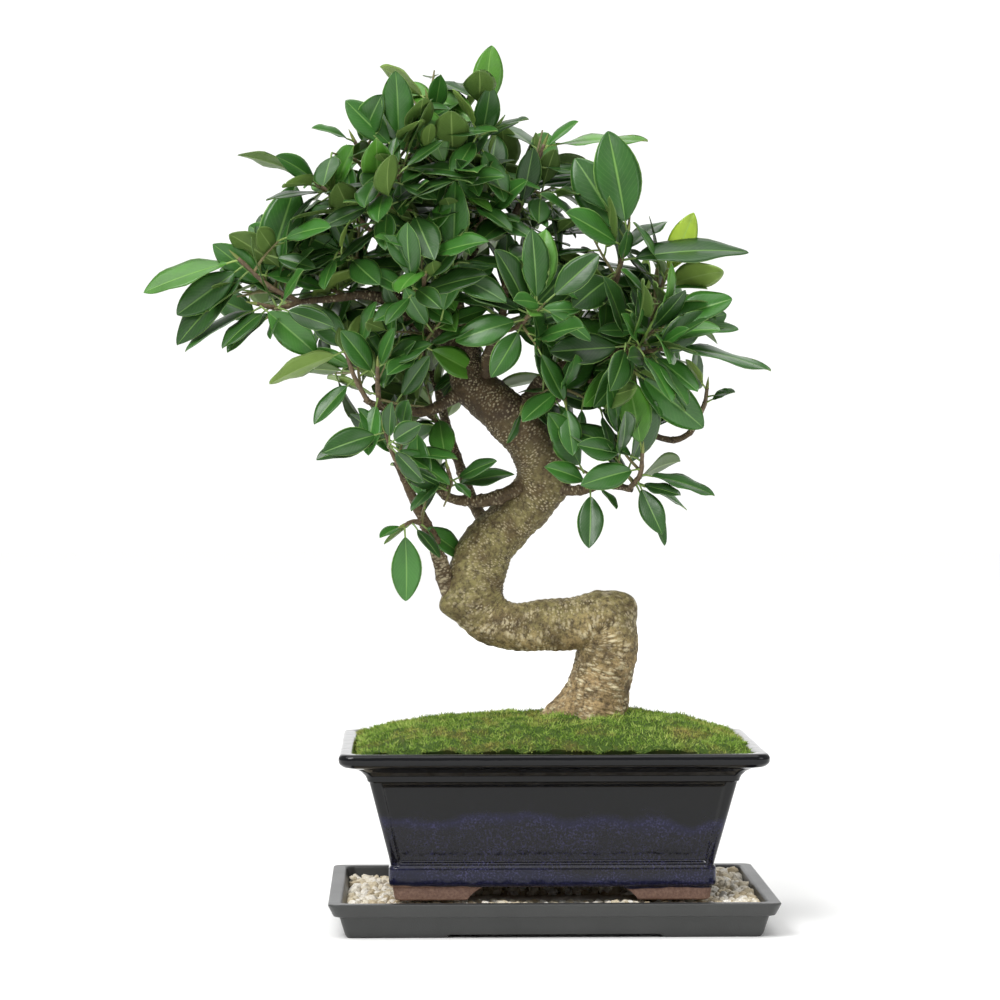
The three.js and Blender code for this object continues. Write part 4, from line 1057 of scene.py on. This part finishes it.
def insideCrown(point):
    low, high = np.array(cadBox[0]) * 1000 - 5, np.array(cadBox[1]) * 1000 + 5
    if np.any(point < low) or np.any(point > high):
        return False
    x, z = point[0], point[2]
    if point[1] < 12 and np.hypot((x - bareTrunk[0]) / bareTrunk[2], (z - bareTrunk[1]) / bareTrunk[3]) < 1:
        return False
    ahead = np.roll(crownOutline, -1, 0)
    spans = (crownOutline[:, 1] > z) != (ahead[:, 1] > z)
    run, rise = (ahead - crownOutline)[spans].T
    cut = crownOutline[spans, 0] + run * (z - crownOutline[spans, 1]) / rise
    return np.count_nonzero(x < cut) % 2 == 1


def fillLeaf(step, shootIndex):
    bearing = leafShape["spiral"] * step + 67 * shootIndex
    return bearing % 360, 36 + 4 * (step % 3), -18 - 17 * (step % 3), 55 + 22 * (step % 4)


def leafFrame(bearing, lean, roll, x):
    flat = math.cos(math.radians(lean))
    b, roll = math.radians(bearing), math.radians(roll)
    along = np.array([flat * math.cos(b), -math.sin(math.radians(lean)), flat * math.sin(b)])
    facing = np.array([0.0, -1.0, 0.0])
    facing -= facing.dot(along) * along
    facing /= np.linalg.norm(facing)
    upward = np.cross(along, facing)
    if upward[2] + 0.5 * math.copysign(1, x - crownMiddle[0]) * upward[0] < 0:
        upward = -upward
    return along, facing * math.cos(roll) + upward * math.sin(roll)


def addLeaf(shape, foot, along, face, length, tone, rows, draw):
    across = np.cross(face, along)
    petiole = leafShape["petiole"] * (0.75 + length / 160)
    reach = petiole + length
    width = min(max(leafShape["widthShare"] * length, leafShape["narrowest"]), leafShape["widest"])
    width *= draw.uniform(0.92, 1.08)
    curl = leafShape["curl"] * draw.uniform(0.5, 1.4)
    fold = leafShape["fold"] * draw.uniform(0.4, 2.0)
    wave = leafShape["waves"] * draw.uniform(0.3, 1.3) * length / 50
    phase, count = draw.uniform(0, 6.28), draw.uniform(1.2, 2.4)
    twist, sway = draw.uniform(-0.25, 0.25), draw.uniform(-0.07, 0.07)
    u = (1 - np.cos(np.linspace(0, math.pi, rows))) / 2
    middle = leafShape["widestAt"]
    lower = np.sin(np.clip(u / middle, 0, 1) * math.pi / 2) ** 0.78
    upper = np.cos(np.clip((u - middle) / (1 - middle), 0, 1) * math.pi / 2) ** leafShape["bluntness"]
    half = np.maximum(np.where(u < middle, lower, upper) * width / 2, 0.25)
    v = np.array([1, 0.72, 0.42, 0.14, 0, -0.14, -0.42, -0.72, -1])
    loops = []
    # the upper face, then the underside; each has the midrib's groove or ridge
    for side, depth, groove, spread in ((v, 0.0, 0.35, 0.9), (v[-2:0:-1], leafShape["thickness"], 0.25, 0.7)):
        offset = half[:, None] * side
        lift = fold * np.abs(offset) - 1.1 * curl * offset ** 2 / width
        lift = lift + wave * np.sin(2 * math.pi * count * u[:, None] + phase + (side > 0) * 1.3) * side ** 2
        lift = lift - depth - groove * np.exp(-(offset / spread) ** 2)
        place = (petiole + length * u)[:, None] + 0 * offset
        share = place / reach
        lift = lift - curl * reach * share ** 2
        swing = offset * np.cos(twist * (share - 0.3)) + sway * length * u[:, None] ** 2
        lift = lift + offset * np.sin(twist * (share - 0.3))
        loops.append(foot + along * place[..., None] + across * swing[..., None] + face * lift[..., None])
    rings = np.concatenate(loops, 1)
    acrossLaid = np.concatenate([(v + 1) / 2, (v[-2:0:-1] + 1) / 2, [1.0]])
    shape.addRings(rings, acrossLaid, u, slot=np.tile([0] * 8 + [1] * 8, rows - 1), tone=tone)
    start = foot - along * 0.3
    end = rings[0].mean(0) + along * 0.8
    bend = (start + end) / 2 + face * 0.35 * draw.uniform(0.2, 1.2)
    radius = leafShape["petioleRadius"] * (0.8 + length / 200)
    stalk = [radius * 1.15, radius, radius * 0.85]
    addLimb(shape, [start, bend, end], stalk, 7, 5, slot=1, tone=tone + 0.15)


def unit(vector):
    return vector / np.linalg.norm(vector)


def anyVector(draw):
    return np.array([draw.gauss(0, 1), draw.gauss(0, 1), draw.gauss(0, 1)])


def addSpray(shape, foot, heading, draw):
    # a side twig with leaves set spirally round it
    reach = leafShape["sprayTwig"] * draw.uniform(0.7, 1.15)
    side = unit(np.cross(heading, unit(anyVector(draw))))
    tip = foot + heading * reach + np.array([0, 0, 3.0])
    turn, grown = draw.uniform(0, 360), 0
    for step in range(leafShape["sprayLeaves"]):
        turn += leafShape["spiral"]
        share = 1 - 0.15 * step
        opening = math.radians(draw.uniform(38, 50) + 6 * step)
        around = side * math.cos(math.radians(turn)) + np.cross(heading, side) * math.sin(math.radians(turn))
        along = unit(heading * math.cos(opening) + around * math.sin(opening))
        length = leafShape["sprayLeaf"] * draw.uniform(0.62, 1.3)
        start = foot + (tip - foot) * share
        light = unit(start - crownMiddle) + np.array([0, -0.35, 0.55])
        face = light - light.dot(along) * along
        tone = min(max(draw.gauss(0.36, 0.17), 0.03), 0.74)
        if np.linalg.norm(face) < 0.15 or not insideCrown(start + along * (length + 6)):
            continue
        addLeaf(shape, start, along, unit(face), length, tone, leafShape["sprayRows"], draw)
        grown += 1
    if grown:
        addLimb(shape, [foot, (foot + tip) / 2 + side, tip], [1.0, 0.8, 0.5], 8, 10, slot=2, tone=0.3)
    return grown


def buildShoot(name, twig, leaves, fill, index):
    draw = random.Random(leafShape["seed"] + 31 * index)
    shape = Shape()
    centres, _, _, travelled = walkRoute(twig, 40)
    length = travelled[-1]
    fillers = [fillLeaf(step, index) for step in range(int(fill * leafShape["extraFill"] + 1.5))]
    grown = 0
    for order, (bearing, leafLength, lean, roll) in enumerate(leaves + fillers):
        at = max(0.25, 1 - (1.5 + 4.5 * order) / length) * length
        foot = np.array([np.interp(at, travelled, centres[:, axis]) for axis in range(3)])
        along, face = leafFrame(bearing, lean, roll, foot[0])
        young = 0.15 if order == 0 else 0.0
        tone = min(max(draw.gauss(0.40, 0.16) + young, 0.05), 0.78)
        if (name, order) in paleLeaves:
            tone = paleLeaves[name, order]
        if order >= len(leaves) and not insideCrown(foot + along * (leafLength + 8)):
            continue
        addLeaf(shape, foot, along, face, leafLength, tone, leafShape["rows"], draw)
        grown += 1
    addLimb(shape, twig, leafShape["twigRadii"], 10, 24, branchRelief, slot=2)
    onward = unit(centres[-1] - centres[-6])
    # the shoots under the crown get more shade and grow fewer side twigs
    sprays = leafShape["sprays"] if centres[-1][2] > leafShape["lowBelow"] else leafShape["lowSprays"]
    for spray in range(sprays):
        foot = centres[int(8 + 30 * spray / sprays)]
        heading = unit(0.8 * onward + anyVector(draw))
        grown += addSpray(shape, foot, heading, draw)
    tip = centres[-1]
    bud = [tip - onward, tip + onward * 3, tip + onward * 7.5]
    addLimb(shape, bud, [1.1, 0.9, 0.15], 8, 8, slot=2, tone=0.9)
    piece = shape.build("shoot_" + name, [finishes["leaf"], finishes["leafUnder"], finishes["twig"]])
    settle(piece, "leaf", "shoot_" + name)
    return grown


# young leaves are yellow-green
paleLeaves = {("right_young", 0): 1.0, ("right_young", 1): 0.8, ("left_tip_high", 0): 0.7}

leafCount = 0
for index, (name, (twig, leaves, fill)) in enumerate(shoots.items()):
    leafCount += buildShoot(name, twig, leaves, fill, index)
print("shoots grown:", len(shoots), "with", leafCount, "leaves")


# floor, light and camera

studio = dict(
    paperColour="#fbfbfa", floorRadius=6000.0,
    skyColour="#ffffff", skyStrength=0.42, seenStrength=1.1,
    keyPower=40.0, keyPlace=(-1.2, -1.5, 2.1), keySize=1.3,
    fillPower=8.0, fillPlace=(1.7, -1.4, 1.0), fillSize=1.2,
    backPower=26.0, backPlace=(0.0, 2.6, 1.1), backSize=3.4,  # the lit backdrop, which glazed rims reflect
    canopyStrength=2.1, canopyAngle=70.0,  # broad even light from above, in degrees across
    canopyTilt=(12.0, -10.0, 0.0), lampAim=(-0.02, 0.0, 0.28),
    lens=128.0, cameraReach=50.0, cameraPlace=(-0.0889, -2.123, 0.298), cameraAim=(-0.0292, 0.0, 0.2502),
)


def buildFloor():
    turn = np.linspace(0, 2 * math.pi, 64, endpoint=False)
    ring = studio["floorRadius"] * np.column_stack([np.cos(turn), np.sin(turn)])
    rings = np.array([np.column_stack([ring, np.full(64, z)]) for z in (-20.0, -0.05)])
    shape = Shape()
    addLoft(shape, rings)
    constants = {"Roughness": 0.9, "Base Color": linearColour(studio["paperColour"])}
    paper = finish("studioPaper", constants, lambda add, place: {})
    shape.build("floor", [paper], smooth=False)


def addSoftbox(name, power, place, size):
    light = bpy.data.lights.new(name, "AREA")
    light.energy, light.shape, light.size = power, "DISK", size
    lamp = bpy.data.objects.new(name, light)
    lamp.location, lamp.visible_camera = place, False
    lamp.rotation_euler = (Vector(studio["lampAim"]) - lamp.location).to_track_quat("-Z", "Y").to_euler()
    scene.collection.objects.link(lamp)


def buildStudio():
    buildFloor()
    for name in ("key", "fill", "back"):
        addSoftbox(name + "Softbox", studio[name + "Power"], studio[name + "Place"], studio[name + "Size"])
    canopy = bpy.data.lights.new("canopy", "SUN")
    canopy.energy, canopy.angle = studio["canopyStrength"], math.radians(studio["canopyAngle"])
    canopyLamp = bpy.data.objects.new("canopy", canopy)
    canopyLamp.rotation_euler = [math.radians(turn) for turn in studio["canopyTilt"]]
    scene.collection.objects.link(canopyLamp)
    world = bpy.data.worlds.new("studioSky")
    world.use_nodes = True
    tree = world.node_tree
    sky = tree.nodes["Background"]
    sky.inputs[0].default_value = linearColour(studio["skyColour"])
    seen = addNode(tree, "LightPath")
    strength = addNode(tree, "MapRange", {"Value": seen, "To Min": studio["skyStrength"],
                                          "To Max": studio["seenStrength"]})
    tree.links.new(strength, sky.inputs[1])
    scene.world = world
    scene.view_settings.view_transform = "Standard"


def buildCamera():
    camera = bpy.data.objects.new("camera", bpy.data.cameras.new("camera"))
    camera.data.lens, camera.data.sensor_width = studio["lens"], 36.0
    camera.data.clip_end = studio["cameraReach"]
    camera.location = studio["cameraPlace"]
    aim = Vector(studio["cameraAim"]) - camera.location
    camera.rotation_euler = aim.to_track_quat("-Z", "Y").to_euler()
    scene.collection.objects.link(camera)
    bpy.context.scene.camera = camera


buildStudio()
buildCamera()
print("studio ready")
